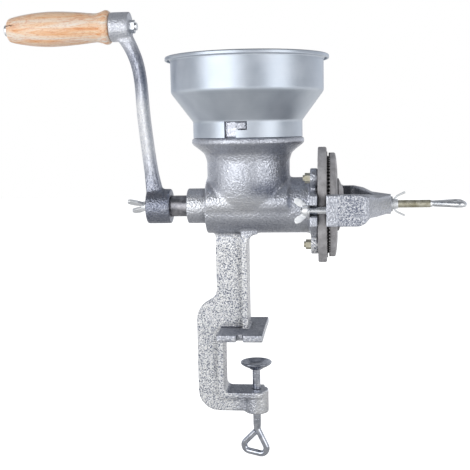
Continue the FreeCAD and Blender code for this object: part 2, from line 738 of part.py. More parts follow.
turning_face = burr_face + " + burr_gap"
shaft_fit = "shaft_radius + running_gap"
turning_burr = turned("turning_burr", [
    (turning_face, shaft_fit),
    (turning_face, "turning_radius"),
    (turning_face + " + 0.8*turning_thickness", "turning_radius"),
    (turning_back, "turning_radius - 1.5"),
    (turning_back, shaft_fit),
], axis="H_Axis")
finish(turning_burr, "rotating_plate")
carrier = turned("carrier", [
    (turning_back, shaft_fit),
    (turning_back, "carrier_radius"),
    (turning_back + " + 0.25*carrier_length", "carrier_radius"),
    (turning_back + " + carrier_length", "carrier_nose"),
    (turning_back + " + carrier_length", shaft_fit),
], axis="H_Axis")
pin_place = turning_back + " + 0.5*carrier_length"
carrier_pin_hole = cylinder("carrier_pin_hole", "z", "pin_radius", "3*carrier_radius", pin_place, "0",
                            "-1.5*carrier_radius")
finish(cut("carrier_hub", carrier, [carrier_pin_hole]), "plate_carrier")
pin = cylinder("cross_pin", "z", "pin_radius", "pin_length", pin_place, "0", "-0.5*pin_length")
finish(pin, "drive_pin", pin_place, "0", "-0.5*pin_length")
ball_place = "shaft_end + seat_gap + ball_radius"
finish(sphere("ball", "ball_radius"), "thrust_ball", ball_place)

# Yoke: two arms from the ears of the flange to the boss of the adjusting screw
yoke_ear = ("yoke_start", "yoke_start + yoke_ear_length")
yoke_rise = ("-0.5*yoke_height", "0.5*yoke_height")
arms = []
for label, side in (("front", "-"), ("back", "")):
    arms.append(slab("yoke_arm_" + label, [
        ("yoke_start", side + "yoke_inner"),
        ("yoke_start", side + "yoke_outer"),
        ("yoke_bend", side + "yoke_outer"),
        ("0.4*yoke_bend + 0.6*yoke_shoulder", side + "0.975*yoke_outer"),
        ("yoke_shoulder", side + "0.93*yoke_outer"),
        ("yoke_shoulder", side + "0.95*yoke_inner"),
        ("yoke_bend", side + "yoke_inner"),
    ], "yoke_height", "XY_Plane"))
yoke_ears = [
    block("yoke_ear_front", yoke_ear, ("-yoke_outer - yoke_ear_step", "-yoke_inner - 1"), yoke_rise),
    block("yoke_ear_back", yoke_ear, ("yoke_inner + 1", "yoke_outer + yoke_ear_step"), yoke_rise),
]
bridge = slab("yoke_bridge", [
    ("yoke_bend", "-yoke_outer + 1"),
    ("yoke_shoulder", "-0.90*yoke_outer"),
    ("yoke_boss_start + 0.95*yoke_boss_length", "-0.9*yoke_boss_radius"),
    ("yoke_boss_start + 0.95*yoke_boss_length", "0.9*yoke_boss_radius"),
    ("yoke_shoulder", "0.90*yoke_outer"),
    ("yoke_bend", "yoke_outer - 1"),
    ("yoke_bend", "yoke_inner + 1"),
    ("yoke_boss_start", "0.9*yoke_boss_radius"),
    ("yoke_boss_start", "-0.9*yoke_boss_radius"),
    ("yoke_bend", "-yoke_inner - 1"),
], "yoke_height", "XY_Plane")
yoke_side = slab("yoke_side", [
    ("yoke_start - 1", "-0.5*yoke_height"),
    ("yoke_bend + 1", "-0.5*yoke_height"),
    ("0.4*yoke_bend + 0.6*yoke_shoulder", "-0.42*yoke_height"),
    ("yoke_shoulder", "-0.27*yoke_height"),
    ("yoke_boss_start", "-0.85*yoke_boss_radius"),
    ("yoke_boss_start + yoke_boss_length", "-0.85*yoke_boss_radius"),
    ("yoke_boss_start + yoke_boss_length", "0.95*yoke_boss_radius"),
    ("yoke_boss_start", "0.95*yoke_boss_radius"),
    ("yoke_shoulder", "0.42*yoke_height"),
    ("yoke_bend", "0.5*yoke_height"),
    ("yoke_start - 1", "0.5*yoke_height"),
], "2*yoke_outer + 20")
yoke_bow = doc.addObject("Part::Common", "yoke_bow")
yoke_bow.Base = fuse("yoke_plan", arms + [bridge])
yoke_bow.Tool = yoke_side
yoke_boss = cylinder("yoke_boss", "x", "yoke_boss_radius", "yoke_boss_length", "yoke_boss_start")
yoke_holes = [cylinder("adjuster_hole", "x", "adjuster_radius + running_gap", "yoke_boss_length + 2",
                       "yoke_boss_start - 1")]
ties = []
for label, y in (("front", "-tie_offset"), ("back", "tie_offset")):
    yoke_holes.append(cylinder("tie_hole_" + label, "x", "tie_radius", "tie_depth + 1",
                               "yoke_start - 1", y))
    ties.append(cylinder("tie_" + label, "x", "tie_radius", "yoke_start + tie_depth - tie_end",
                         "tie_end", y))
finish(cut("yoke_casting", fuse("yoke_solid", [yoke_bow, yoke_boss] + yoke_ears), yoke_holes), "yoke")
finish(fuse("tie_studs", ties), "yoke_studs")

# Washers and wing nuts that draw the yoke against the flange
tie_fit = "tie_radius + running_gap"
washer_left = flange_back + " - 0.5*seat_gap - washer_thickness"
nut_left = washer_left + " - 0.5*seat_gap"
away = Rotation(Vector(0, 0, 1), 180)
washer("front_washer", tie_fit, washer_left, "-tie_offset")
washer("rear_washer", tie_fit, washer_left, "tie_offset")
wing_nut("front_wing_nut", tie_fit, nut_left, "-tie_offset", Rotation(Vector(1, 0, 0), -8) * away)
wing_nut("rear_wing_nut", tie_fit, nut_left, "tie_offset", Rotation(Vector(1, 0, 0), 15) * away)

# Adjusting screw with its bent eye, and the wing nut that locks it
adjuster_start = "shaft_end + 2*seat_gap + 2*ball_radius"
adjuster_rod = cylinder("adjuster_rod", "x", "adjuster_radius", "adjuster_end - (" + adjuster_start + ")",
                        adjuster_start)
adjuster_eye = eye("adjuster_bent", "adjuster_eye", "adjuster_bend", "adjuster_wire")
level = Rotation(Vector(1, 0, 0), 90) * Rotation(Vector(0, 1, 0), -90)
adjuster_eye.Placement = Placement(Vector(), level)
place(adjuster_eye, "adjuster_end + 0.2*adjuster_wire")
finish(fuse("adjuster", [adjuster_rod, adjuster_eye]), "adjusting_screw")
boss_face = "yoke_boss_start + yoke_boss_length"
washer("lock_washer", "adjuster_radius + running_gap", boss_face + " + 0.5*seat_gap", "0")
wing_nut("lock_wing_nut", "adjuster_radius + running_gap", boss_face + " + seat_gap + washer_thickness",
         "0", Rotation(Vector(1, 0, 0), 20))

# Clamp screw with its bent eye, and the cup that swivels on its upper end
cup_top = "-shaft_height - clamp_gap"
cup = turned("cup", [
    ("0", cup_top + " - cup_hollow"),
    ("0.55*cup_radius", cup_top + " - 0.8*cup_hollow"),
    ("cup_radius - 1.4", cup_top),
    ("cup_radius - 0.3", cup_top),
    ("cup_radius", cup_top + " - 0.5"),
    ("cup_radius", cup_top + " - 2.2"),
    ("0.80*cup_radius", cup_top + " - 0.55*cup_height"),
    ("cup_neck", cup_top + " - 0.8*cup_height"),
    ("cup_neck", cup_top + " - cup_height"),
    ("0", cup_top + " - cup_height"),
])
pivot_radius = "0.7*clamp_radius"
pivot_hole = cylinder("pivot_hole", "z", pivot_radius + " + running_gap", "0.35*cup_height", "0", "0",
                      cup_top + " - cup_height - 0.05*cup_height")
finish(cut("swivel_cup", cup, [pivot_hole]), "clamp_cup", "clamp_axis")
screw_top = cup_top + " - cup_height - seat_gap"
clamp_rod = cylinder("clamp_rod", "z", "clamp_radius",
                     "clamp_screw_end - clamp_gap - cup_height - seat_gap",
                     "0", "0", "-shaft_height - clamp_screw_end")
pivot = cylinder("pivot", "z", pivot_radius, "0.25*cup_height + 1", "0", "0", screw_top + " - 1")
clamp_eye = eye("clamp_bent", "clamp_eye", "clamp_bend", "clamp_wire")
clamp_eye.Placement = Placement(Vector(), Rotation(Vector(0, 0, 1), -12) * Rotation(Vector(0, 1, 0), 8))
place(clamp_eye, "0", "0", "-shaft_height - clamp_screw_end")
finish(fuse("clamp", [clamp_rod, pivot, clamp_eye]), "clamp_screw", "clamp_axis")

doc.recompute()
for thing in doc.Objects:
    if "Invalid" in thing.State or "Error" in thing.State:
        raise RuntimeError("%s did not build: %s" % (thing.Name, thing.State))
for thing in nodes:
    if thing.Shape.isNull() or not thing.Shape.isValid():
        raise RuntimeError("%s is not a valid solid" % thing.Label)
    thing.Shape.exportStep("parts/%s.step" % thing.Label)
    box = thing.Shape.BoundBox
    print("%-18s solids %d volume %9.1f  X %7.1f %7.1f  Y %6.1f %6.1f  Z %7.1f %7.1f" % (
        thing.Label, len(thing.Shape.Solids), thing.Shape.Volume,
        box.XMin, box.XMax, box.YMin, box.YMax, box.ZMin, box.ZMax))
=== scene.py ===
import bmesh
import bpy
import math
import numpy as np
from mathutils import Matrix, Vector, noise


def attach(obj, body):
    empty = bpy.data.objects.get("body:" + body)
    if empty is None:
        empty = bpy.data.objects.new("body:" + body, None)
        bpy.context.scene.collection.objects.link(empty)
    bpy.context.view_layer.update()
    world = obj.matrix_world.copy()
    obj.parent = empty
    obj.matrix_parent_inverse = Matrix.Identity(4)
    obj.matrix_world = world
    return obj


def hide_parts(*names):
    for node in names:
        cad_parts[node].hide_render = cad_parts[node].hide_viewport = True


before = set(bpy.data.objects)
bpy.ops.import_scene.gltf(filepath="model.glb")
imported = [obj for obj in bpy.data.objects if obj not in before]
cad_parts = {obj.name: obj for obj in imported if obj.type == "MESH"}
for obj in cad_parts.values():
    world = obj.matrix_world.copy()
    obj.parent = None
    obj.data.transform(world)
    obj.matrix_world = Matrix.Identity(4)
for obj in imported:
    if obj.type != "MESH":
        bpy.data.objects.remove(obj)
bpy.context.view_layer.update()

mm = 0.001
hopperX = 6.7        # the hopper's axis meets the shaft's axis here, in mm from the jaw
shaftZ = 110.4
scene = bpy.context.scene


# small helpers

def linear(colour):
    # sRGB hex text to linear light; a plain number is a grey that is linear already
    if not isinstance(colour, str):
        return [colour] * 3 + [1.0]
    parts = [int(colour[i:i + 2], 16) / 255 for i in (1, 3, 5)]
    return [p / 12.92 if p <= 0.04045 else ((p + 0.055) / 1.055) ** 2.4 for p in parts] + [1.0]


def addNode(tree, kind, settings=None, inputs=None, out=0):
    # inputs are a dictionary or a tuple in the node's own order; gives back one output, or the node for None
    node = tree.nodes.new(kind)
    for key, value in (settings or {}).items():
        if key != "stops":
            setattr(node, key, value)
            continue
        elements = node.color_ramp.elements
        while len(elements) < len(value):
            elements.new(0.5)
        for element, (place, colour) in zip(elements, value):
            element.position = place
            element.color = linear(colour)
    for key, value in inputs.items() if isinstance(inputs, dict) else enumerate(inputs or ()):
        if isinstance(value, bpy.types.NodeSocket):
            tree.links.new(value, node.inputs[key])
        else:
            node.inputs[key].default_value = value
    return node if out is None or not node.outputs else node.outputs[out]


def spot(x, y, z):
    # mm from where the hopper and shaft axes meet, to metres in the frame
    return Vector((hopperX + x, y, shaftZ + z)) * mm


def millPlace(points):
    # the other way round, for rows of points
    return (points / mm - np.array((hopperX, 0.0, shaftZ))).T


def readPoints(mesh, kind="co"):
    flat = np.empty(len(mesh.vertices) * 3)
    mesh.vertices.foreach_get(kind, flat)
    return flat.reshape(-1, 3)


def writePoints(mesh, points):
    mesh.vertices.foreach_set("co", points.ravel())
    mesh.update()


def placed(name, data):
    thing = bpy.data.objects.new(name, data)
    scene.collection.objects.link(thing)
    return thing


def meshObject(name, mesh, material, body, nodes, sharp):
    # sharp is the angle past which an edge stays crisp, 0 for a casting that is soft all over
    mesh.name = name
    mesh.materials.clear()
    mesh.materials.append(material)
    mesh.polygons.foreach_set("use_smooth", [True] * len(mesh.polygons))
    mesh.polygons.foreach_set("material_index", [0] * len(mesh.polygons))
    if sharp:
        mesh.set_sharp_from_angle(angle=math.radians(sharp))
    piece = placed(name, mesh)
    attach(piece, body)
    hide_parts(*nodes)


def meshFrom(bm, name, outward=True):
    if outward:
        bmesh.ops.recalc_face_normals(bm, faces=bm.faces)
    mesh = bpy.data.meshes.new(name)
    bm.to_mesh(mesh)
    bm.free()
    return mesh


def baked(holder):
    graph = bpy.context.evaluated_depsgraph_get()
    mesh = bpy.data.meshes.new_from_object(holder.evaluated_get(graph))
    bpy.data.objects.remove(holder)
    return mesh


def withModifier(mesh, kind, settings):
    holder = placed("work", mesh)
    modifier = holder.modifiers.new(kind.lower(), kind)
    for key, value in settings.items():
        setattr(modifier, key, value)
    return baked(holder)


def joined(meshes):
    bm = bmesh.new()
    for mesh in meshes:
        bm.from_mesh(mesh)
    return meshFrom(bm, "joined", outward=False)


def rounded(points, radii, steps):
    # corners of a profile eased to the given radii
    reachLimit = 0.48        # of a neighbouring run, so that two corners never meet
    out = []
    for i, p in enumerate(points):
        r = radii[i]
        if not r or i in (0, len(points) - 1):
            out.append(p)
            continue
        a, b, c = Vector(points[i - 1]), Vector(p), Vector(points[i + 1])
        u, v = (a - b), (c - b)
        half = u.angle(v) / 2
        reach = min(r / math.tan(half), reachLimit * u.length, reachLimit * v.length)
        start, end = b + u.normalized() * reach, b + v.normalized() * reach
        for k in range(steps + 1):
            t = k / steps
            q = (1 - t) ** 2 * start + 2 * t * (1 - t) * b + t * t * end
            out.append((q.x, q.y))
    return out


def spline(points, steps):
    # smooth curve through every point
    out = []
    for i in range(len(points) - 1):
        p0 = Vector(points[max(i - 1, 0)])
        p1, p2 = Vector(points[i]), Vector(points[i + 1])
        p3 = Vector(points[min(i + 2, len(points) - 1)])
        for k in range(steps):
            t = k / steps
            q = 0.5 * (2 * p1 + (p2 - p0) * t + (2 * p0 - 5 * p1 + 4 * p2 - p3) * t * t
                       + (3 * p1 - p0 - 3 * p2 + p3) * t ** 3)
            out.append((q.x, q.y))
    out.append(points[-1])
    return out


def lathe(profile, axis, centre, segments, closed=True):
    # profile points are (along the axis, radius) in mm
    bm = bmesh.new()
    rings = []
    for along, radius in profile:
        count = 1 if radius < 1e-6 else segments
        ring = []
        for s in range(count):
            a = 2 * math.pi * s / segments
            c, d = radius * math.cos(a), radius * math.sin(a)
            local = (along, c, d) if axis == "x" else (d, -c, along)
            ring.append(bm.verts.new(spot(*(Vector(centre) + Vector(local)))))
        rings.append(ring)
    pairs = list(zip(rings, rings[1:])) + ([(rings[-1], rings[0])] if closed else [])
    for lower, upper in pairs:
        for s in range(segments):
            quad = [lower[s % len(lower)], lower[(s + 1) % len(lower)],
                    upper[(s + 1) % len(upper)], upper[s % len(upper)]]
            unique = list(dict.fromkeys(quad))
            if len(unique) > 2:
                bm.faces.new(unique)
    return meshFrom(bm, "lathe")


# castings: the solid's own shape with a founder's soft edges and inside corners

relax = {"even": 0.6, "fill": 0.9, "settle": 0.03, "renew": 6, "merge": 0.02, "quickGrain": 2.0}


def cadCopy(node):
    # the solid's own mesh with its split corners merged
    bm = bmesh.new()
    bm.from_mesh(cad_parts[node].data)
    bmesh.ops.remove_doubles(bm, verts=bm.verts, dist=relax["merge"] * mm)
    return meshFrom(bm, node + "Copy")


def softened(mesh, even, fill, keep=None):
    # even rounds every edge a little, fill then builds up the inside corners as a casting's radii
    count = len(mesh.vertices)
    points = readPoints(mesh)
    edges = np.empty(len(mesh.edges) * 2, dtype=np.int64)
    mesh.edges.foreach_get("vertices", edges)
    a, b = edges.reshape(-1, 2).T
    degree = np.maximum(np.bincount(a, minlength=count) + np.bincount(b, minlength=count), 1)[:, None]
    weight = np.ones((count, 1)) if keep is None else keep(points)[:, None]
    for step in range(even + fill):
        total = [np.bincount(a, points[b, k], count) + np.bincount(b, points[a, k], count) for k in range(3)]
        shift = np.stack(total, 1) / degree - points
        if step < even:
            points = points + relax["even"] * shift
            continue
        if (step - even) % relax["renew"] == 0:
            writePoints(mesh, points)
            normals = readPoints(mesh, "normal")
        outward = (shift * normals).sum(1, keepdims=True)
        points = points + np.where(outward > 0, relax["fill"] * weight, relax["settle"]) * shift
    writePoints(mesh, points)


def cast(node, casting, keep=None, shape=None):
    # casting gives the voxel in mm, the steps of each softening and the most triangles
    grain = casting["voxel"] * 1.0
    mesh = withModifier(cadCopy(node), "REMESH",
                        {"mode": "VOXEL", "voxel_size": grain * mm, "adaptivity": 0.0})
    if shape:
        shape(mesh)
    softened(mesh, casting["even"], casting["fill"], keep)
    triangles = 2 * len(mesh.polygons)
    if triangles > casting["limit"]:
        mesh = withModifier(mesh, "DECIMATE", {"ratio": casting["limit"] / triangles})
    print("  cast", node, len(mesh.polygons), "faces")
    return mesh


# materials: every pattern reads the object's own coordinates, in mm

def newMaterial(name, look, finish):
    # look gives the shader's inputs for the values in finish
    material = bpy.data.materials.new(name)
    material.use_nodes = True
    tree = material.node_tree
    tree.nodes.clear()
    metres = addNode(tree, "ShaderNodeTexCoord", out="Object")
    place = addNode(tree, "ShaderNodeVectorMath", {"operation": "SCALE"}, {0: metres, "Scale": 1 / mm})
    shader = addNode(tree, "ShaderNodeBsdfPrincipled", None, look(tree, place, finish))
    addNode(tree, "ShaderNodeOutputMaterial", None, {"Surface": shader})
    return material


def mask(tree, *fades):
    # fades multiplied together, each (value, start, end, level at the start, level at the end)
    total = addNode(tree, "ShaderNodeMapRange", None, fades[0])
    for fade in fades[1:]:
        level = addNode(tree, "ShaderNodeMapRange", None, fade)
        total = addNode(tree, "ShaderNodeMath", {"operation": "MULTIPLY"}, (total, level))
    return total


def cornerShade(tree, reach, deepest):
    # painted shade: inside corners are darkened by how closed in they are, down to the deepest level
    openSky = addNode(tree, "ShaderNodeAmbientOcclusion", {"samples": 8}, {"Distance": reach * mm}, "AO")
    return addNode(tree, "ShaderNodeMapRange", None, (openSky, 0.30, 0.88, deepest, 1.0))


def upward(tree):
    facing = addNode(tree, "ShaderNodeNewGeometry", out="True Normal")
    return addNode(tree, "ShaderNodeSeparateXYZ", None, {"Vector": facing}, "Z")


# ranges are in mm in the frame, levels are shares of the rough finish
sandSkin = {"top": (shaftZ - 34, shaftZ - 20), "bossX": (-16, -2), "bossZ": (-44, -40), "jawY": (13.6, 15),
            "jawZ": (7, 9), "facing": (0.6, 0.9), "onBoss": 0.1, "onJaw": 0.18, "onTops": 0.15}


def columnGrit(tree, parts):
    # the column and clamp frame kept the sand's roughness, the jaw and the clamp boss were dressed smoother;
    # faces turned upwards take the smooth skin's darker tone as a painted shade on the tops
    s = sandSkin
    deep = addNode(tree, "ShaderNodeMath", {"operation": "ABSOLUTE"}, (parts["Y"],))
    boss = mask(tree, (parts["X"], *s["bossX"], 0, 1), (parts["Z"], *s["bossZ"], 1, 0))
    jaw = mask(tree, (deep, *s["jawY"], 0, 1), (parts["Z"], *s["jawZ"], 1, 0))
    return mask(tree, (parts["Z"], *s["top"], 1, 0), (boss, 0, 1, 1, s["onBoss"]),
                (jaw, 0, 1, 1, s["onJaw"]), (upward(tree), *s["facing"], 1, s["onTops"]))


# gains and losses are steps of the enamel's tone
paintedLightPatches = {"barrelZ": shaftZ + 2, "barrelBand": (4, 14),
             "barrelX": (hopperX + 2, hopperX + 26), "barrelGain": 0.10,
             "ledgeFacing": (0.6, 0.9), "ledgeZ": (15, 25), "ledgeLoss": -0.12,
             "bossX": (6, 13), "bossZ": (-44, -40), "bossGain": 0.14,
             "creaseLeft": (hopperX - 1, hopperX + 9), "creaseRight": (hopperX + 20, hopperX + 30),
             "creaseLow": (shaftZ + 5, shaftZ + 12),
             "creaseHigh": (shaftZ + 15, shaftZ + 24), "creaseLoss": -0.15}


def bodyPaintedLight(tree, parts):
    # painted light and shade in the tone: a painted highlight at the crank end of the barrel and on the
    # clamp boss, painted shade on the faces turned up low on the frame, such as the top of the jaw, and in
    # the throat's lower right
    s = paintedLightPatches
    x, z = parts["X"], parts["Z"]
    off = addNode(tree, "ShaderNodeMath", {"operation": "SUBTRACT"}, (z, s["barrelZ"]))
    off = addNode(tree, "ShaderNodeMath", {"operation": "ABSOLUTE"}, (off,))
    patches = [mask(tree, (off, *s["barrelBand"], s["barrelGain"], 0), (x, *s["barrelX"], 1, 0)),
               mask(tree, (upward(tree), *s["ledgeFacing"], 0, s["ledgeLoss"]), (z, *s["ledgeZ"], 1, 0)),
               mask(tree, (x, *s["bossX"], 0, s["bossGain"]), (z, *s["bossZ"], 1, 0))]
    total = mask(tree, (x, *s["creaseLeft"], 0, 1), (x, *s["creaseRight"], 1, 0),
                 (z, *s["creaseLow"], 0, s["creaseLoss"]), (z, *s["creaseHigh"], 1, 0))
    for patch in patches:
        total = addNode(tree, "ShaderNodeMath", {"operation": "ADD"}, (total, patch))
    return total


# the inside ranges and the bare level place the painted shade between the arms
yokeSkin = {"armStart": (hopperX + 73.4, hopperX + 74.6), "armEnd": (hopperX + 92, hopperX + 98),
            "grit": (0.1, 0.9), "insideY": (50.0, 50.8), "insideX": (hopperX + 86, hopperX + 91),
            "bare": 0.94}


def yokeGrit(tree, parts):
    # rough arms, smoother ears and boss
    arm = mask(tree, (parts["X"], *yokeSkin["armStart"], 0, 1), (parts["X"], *yokeSkin["armEnd"], 1, 0))
    return mask(tree, (arm, 0, 1, *yokeSkin["grit"]))


def yokeInsideShade(tree, parts):
    # painted shade: the inner faces between the arms are mixed towards the near-black bare colour, where the
    # shadow falls
    deep = addNode(tree, "ShaderNodeMath", {"operation": "ABSOLUTE"}, (parts["Y"],))
    return mask(tree, (deep, *yokeSkin["insideY"], 1, 0),
                (parts["X"], *yokeSkin["insideX"], yokeSkin["bare"], 0))


crankSkin = {"armLow": (shaftZ + 20, shaftZ + 50), "armHigh": (shaftZ + 86, shaftZ + 106),
             "eye": (shaftZ + 128, shaftZ + 140), "onEye": 0.7}


def crankGritAndPaintedLight(tree, parts):
    # painted light: the middle of the arm and the eye take a paler tone as a painted highlight, the hub and
    # the upper bend a darker one as painted shade; the same mask sets how rough the skin is
    arm = mask(tree, (parts["Z"], *crankSkin["armLow"], 0, 1), (parts["Z"], *crankSkin["armHigh"], 1, 0))
    eye = mask(tree, (parts["Z"], *crankSkin["eye"], 0, crankSkin["onEye"]))
    return addNode(tree, "ShaderNodeMath", {"operation": "ADD"}, (arm, eye))


# pairs are the values on the smooth and on the rough skin, but gloss runs from the low spots to the high;
# grit and drift are in mm, the grit as coarse as the photograph shows it
# bare is the near-black colour of the painted shade between the yoke's arms
enamel = {"dark": "#686E80", "middle": "#C9CCD4", "light": "#F8F8F7", "bare": "#3B3D44",
          "grit": 1.06, "domes": 0.8, "ripples": 0.63, "seam": -0.45, "drift": 22.0, "driftTone": 0.10,
          "tones": (0.43, 0.62), "spreads": (0.18, 3.1), "bumps": (0.30, 0.48), "bumpHeight": 2.2,
          "metal": (0.90, 0.58), "gloss": (0.38, 0.27), "cornerReach": 9.0, "cornerDeepest": 0.22,
          "cleanZ": (shaftZ + 40, shaftZ + 52), "cleanX": (hopperX + 44, hopperX + 50), "cleanLevel": 0.2,
          "shift": None, "inside": None}
bodyFinish = dict(enamel, coarseness=columnGrit, shift=bodyPaintedLight)
yokeFinish = dict(enamel, coarseness=yokeGrit, inside=yokeInsideShade, bumps=(0.30, 0.36), tones=(0.44, 0.39),
                  spreads=(0.15, 1.6))
crankFinish = dict(enamel, coarseness=crankGritAndPaintedLight, bumps=(0.28, 0.34), tones=(0.31, 0.57), spreads=(0.2, 0.5))


def hammeredEnamel(tree, place, f):
    # silver hammer-finish enamel over sand-cast iron: bright little domes with greyer seams between, coarser
    # and paler where the sand skin was left rough, with painted shade in the corners
    parts = addNode(tree, "ShaderNodeSeparateXYZ", None, {"Vector": place}, None).outputs
    coarse = f["coarseness"](tree, parts)
    grit = addNode(tree, "ShaderNodeTexNoise", None,
                   {"Vector": place, "Scale": 1 / f["grit"], "Detail": 2.0, "Roughness": 0.55,
                    "Distortion": 0.4})
    domes = addNode(tree, "ShaderNodeTexVoronoi", {"feature": "SMOOTH_F1"},
                    {"Vector": place, "Scale": f["domes"] / f["grit"], "Smoothness": 0.8, "Randomness": 1.0})
    drift = addNode(tree, "ShaderNodeTexNoise", None,
                    {"Vector": place, "Scale": 1 / f["drift"], "Detail": 2.0})
    ripple = addNode(tree, "ShaderNodeTexNoise", None,
                     {"Vector": place, "Scale": f["ripples"] / f["grit"], "Detail": 1.0, "Roughness": 0.5,
                      "Distortion": 0.6})
    relief = addNode(tree, "ShaderNodeMix", {"data_type": "FLOAT"}, {0: coarse, 2: ripple, 3: grit})
    height = addNode(tree, "ShaderNodeMath", {"operation": "MULTIPLY_ADD"}, (domes, f["seam"], relief))
    spread = addNode(tree, "ShaderNodeMapRange", None, (coarse, 0, 1, *f["spreads"]))
    ground = addNode(tree, "ShaderNodeMapRange", None, (coarse, 0, 1, *f["tones"]))
    tone = addNode(tree, "ShaderNodeMath", {"operation": "SUBTRACT"}, (relief, 0.5))
    tone = addNode(tree, "ShaderNodeMath", {"operation": "MULTIPLY_ADD"}, (tone, spread, ground))
    tone = addNode(tree, "ShaderNodeMath", {"operation": "MULTIPLY_ADD"}, (drift, f["driftTone"], tone))
    # painted light and shade patches added to the tone, where the finish has them
    if f["shift"]:
        tone = addNode(tree, "ShaderNodeMath", {"operation": "ADD"}, (tone, f["shift"](tree, parts)))
    colour = addNode(tree, "ShaderNodeValToRGB",
                     {"stops": [(0.28, f["dark"]), (0.52, f["middle"]), (0.74, f["light"])]}, (tone,))
    strength = addNode(tree, "ShaderNodeMapRange", None, (coarse, 0, 1, *f["bumps"]))
    bump = addNode(tree, "ShaderNodeBump", None,
                   {"Height": height, "Strength": strength, "Distance": f["bumpHeight"] * mm})
    # the painted corner shade is left off above the spigot's level in the hopper and mostly off on the lugs
    # beside the plate
    cornerShadeShare = mask(tree, (parts["Z"], *f["cleanZ"], 1, 0), (parts["X"], *f["cleanX"], 1, f["cleanLevel"]))
    shade = cornerShade(tree, f["cornerReach"], f["cornerDeepest"])
    colour = addNode(tree, "ShaderNodeMix", {"data_type": "RGBA", "blend_type": "MULTIPLY"},
                     {0: cornerShadeShare, 6: colour, 7: shade}, 2)
    # painted shade: mixed towards the bare colour where the inside mask says
    if f["inside"]:
        colour = addNode(tree, "ShaderNodeMix", {"data_type": "RGBA"},
                         {0: f["inside"](tree, parts), 6: colour, 7: linear(f["bare"])}, 2)
    return {"Base Color": colour, "Normal": bump,
            "Roughness": addNode(tree, "ShaderNodeMapRange", None, (relief, 0.3, 0.7, *f["gloss"])),
            "Metallic": addNode(tree, "ShaderNodeMapRange", None, (coarse, 0, 1, *f["metal"]))}


tinFinish = {"light": "#CBD2DB", "dark": "#B5BEC9", "ringsPerMm": 2.2, "ringTone": 0.35, "cloud": 26.0,
             "gloss": (0.36, 0.44), "bump": 0.12, "bumpHeight": 0.05, "metal": 0.92}


def spunSheet(tree, place, f):
    # tinned sheet spun on a former: satin, with faint rings round the axis and soft cloudy wipe marks
    height = addNode(tree, "ShaderNodeSeparateXYZ", None, {"Vector": place}, "Z")
    upright = addNode(tree, "ShaderNodeCombineXYZ", None, {"Z": height})
    rings = addNode(tree, "ShaderNodeTexNoise", None,
                    {"Vector": upright, "Scale": f["ringsPerMm"], "Detail": 4.0})
    cloud = addNode(tree, "ShaderNodeTexNoise", None,
                    {"Vector": place, "Scale": 1 / f["cloud"], "Detail": 3.0})
    tone = addNode(tree, "ShaderNodeMath", {"operation": "MULTIPLY_ADD"}, (rings, f["ringTone"], cloud))
    colour = addNode(tree, "ShaderNodeValToRGB", {"stops": [(0.45, f["dark"]), (0.85, f["light"])]}, (tone,))
    bump = addNode(tree, "ShaderNodeBump", None,
                   {"Height": rings, "Strength": f["bump"], "Distance": f["bumpHeight"] * mm})
    rough = addNode(tree, "ShaderNodeMapRange", None, (cloud, 0.3, 0.7, *f["gloss"]))
    return {"Base Color": colour, "Normal": bump, "Roughness": rough, "Metallic": f["metal"]}


ironFinish = {"light": "#CDCBCC", "dark": "#928F90", "grainsPerMm": 1.1, "grainTone": 0.6,
              "stain": 9.0, "bump": 0.8, "bumpHeight": 0.3, "metal": 0.45, "rough": 0.62,
              "cornerReach": 5.0, "cornerDeepest": 0.05}


def bareCasting(tree, place, f):
    # unpainted sand-cast iron: dull warm grey, a sandy grain, darker stains and painted shade in the inside
    # corners
    sand = addNode(tree, "ShaderNodeTexNoise", None,
                   {"Vector": place, "Scale": f["grainsPerMm"], "Detail": 5.0, "Roughness": 0.65})
    stain = addNode(tree, "ShaderNodeTexNoise", None,
                    {"Vector": place, "Scale": 1 / f["stain"], "Detail": 3.0})
    tone = addNode(tree, "ShaderNodeMath", {"operation": "MULTIPLY_ADD"}, (sand, f["grainTone"], stain))
    colour = addNode(tree, "ShaderNodeValToRGB", {"stops": [(0.50, f["dark"]), (1.0, f["light"])]}, (tone,))
    shade = cornerShade(tree, f["cornerReach"], f["cornerDeepest"])
    colour = addNode(tree, "ShaderNodeMix", {"data_type": "RGBA", "blend_type": "MULTIPLY"},
                     {0: 1.0, 6: colour, 7: shade}, 2)
    bump = addNode(tree, "ShaderNodeBump", None,
                   {"Height": sand, "Strength": f["bump"], "Distance": f["bumpHeight"] * mm})
    return {"Base Color": colour, "Normal": bump, "Metallic": f["metal"], "Roughness": f["rough"]}


# axis is the one the tool rings run across, pitch their spacing in mm, coarser than real tool marks so that
# they catch the light at all; the pressed nuts are milky and paler
steel = {"axis": "X", "pitch": 0.35, "rough": 0.26, "metal": 1.0, "cloud": 4.0,
         "bump": 0.25, "bumpHeight": 0.06}
shaftFinish = dict(steel, light="#B4B3B8", dark="#73747B", rough=0.34, pitch=0.5)
zincFinish = dict(steel, light="#F2F4F6", dark="#D5D9DE")
uprightFinish = dict(steel, light="#DDE0E8", dark="#B4B9C4", axis="Z", rough=0.13)
yellowFinish = dict(steel, light="#D8D5C6", dark="#B2AD96", rough=0.46, pitch=0.4)
# a darker copy of the upright zinc for the clamp cup, painted shade standing in for the dark reflection in
# its dish
shadedZincFinish = dict(steel, light="#C6CAD4", dark="#878C98", axis="Z", rough=0.13, pitch=0.6)
pressedFinish = dict(steel, light="#FBFCFD", dark="#E6E9EC", rough=0.34, pitch=0.5, metal=0.62)


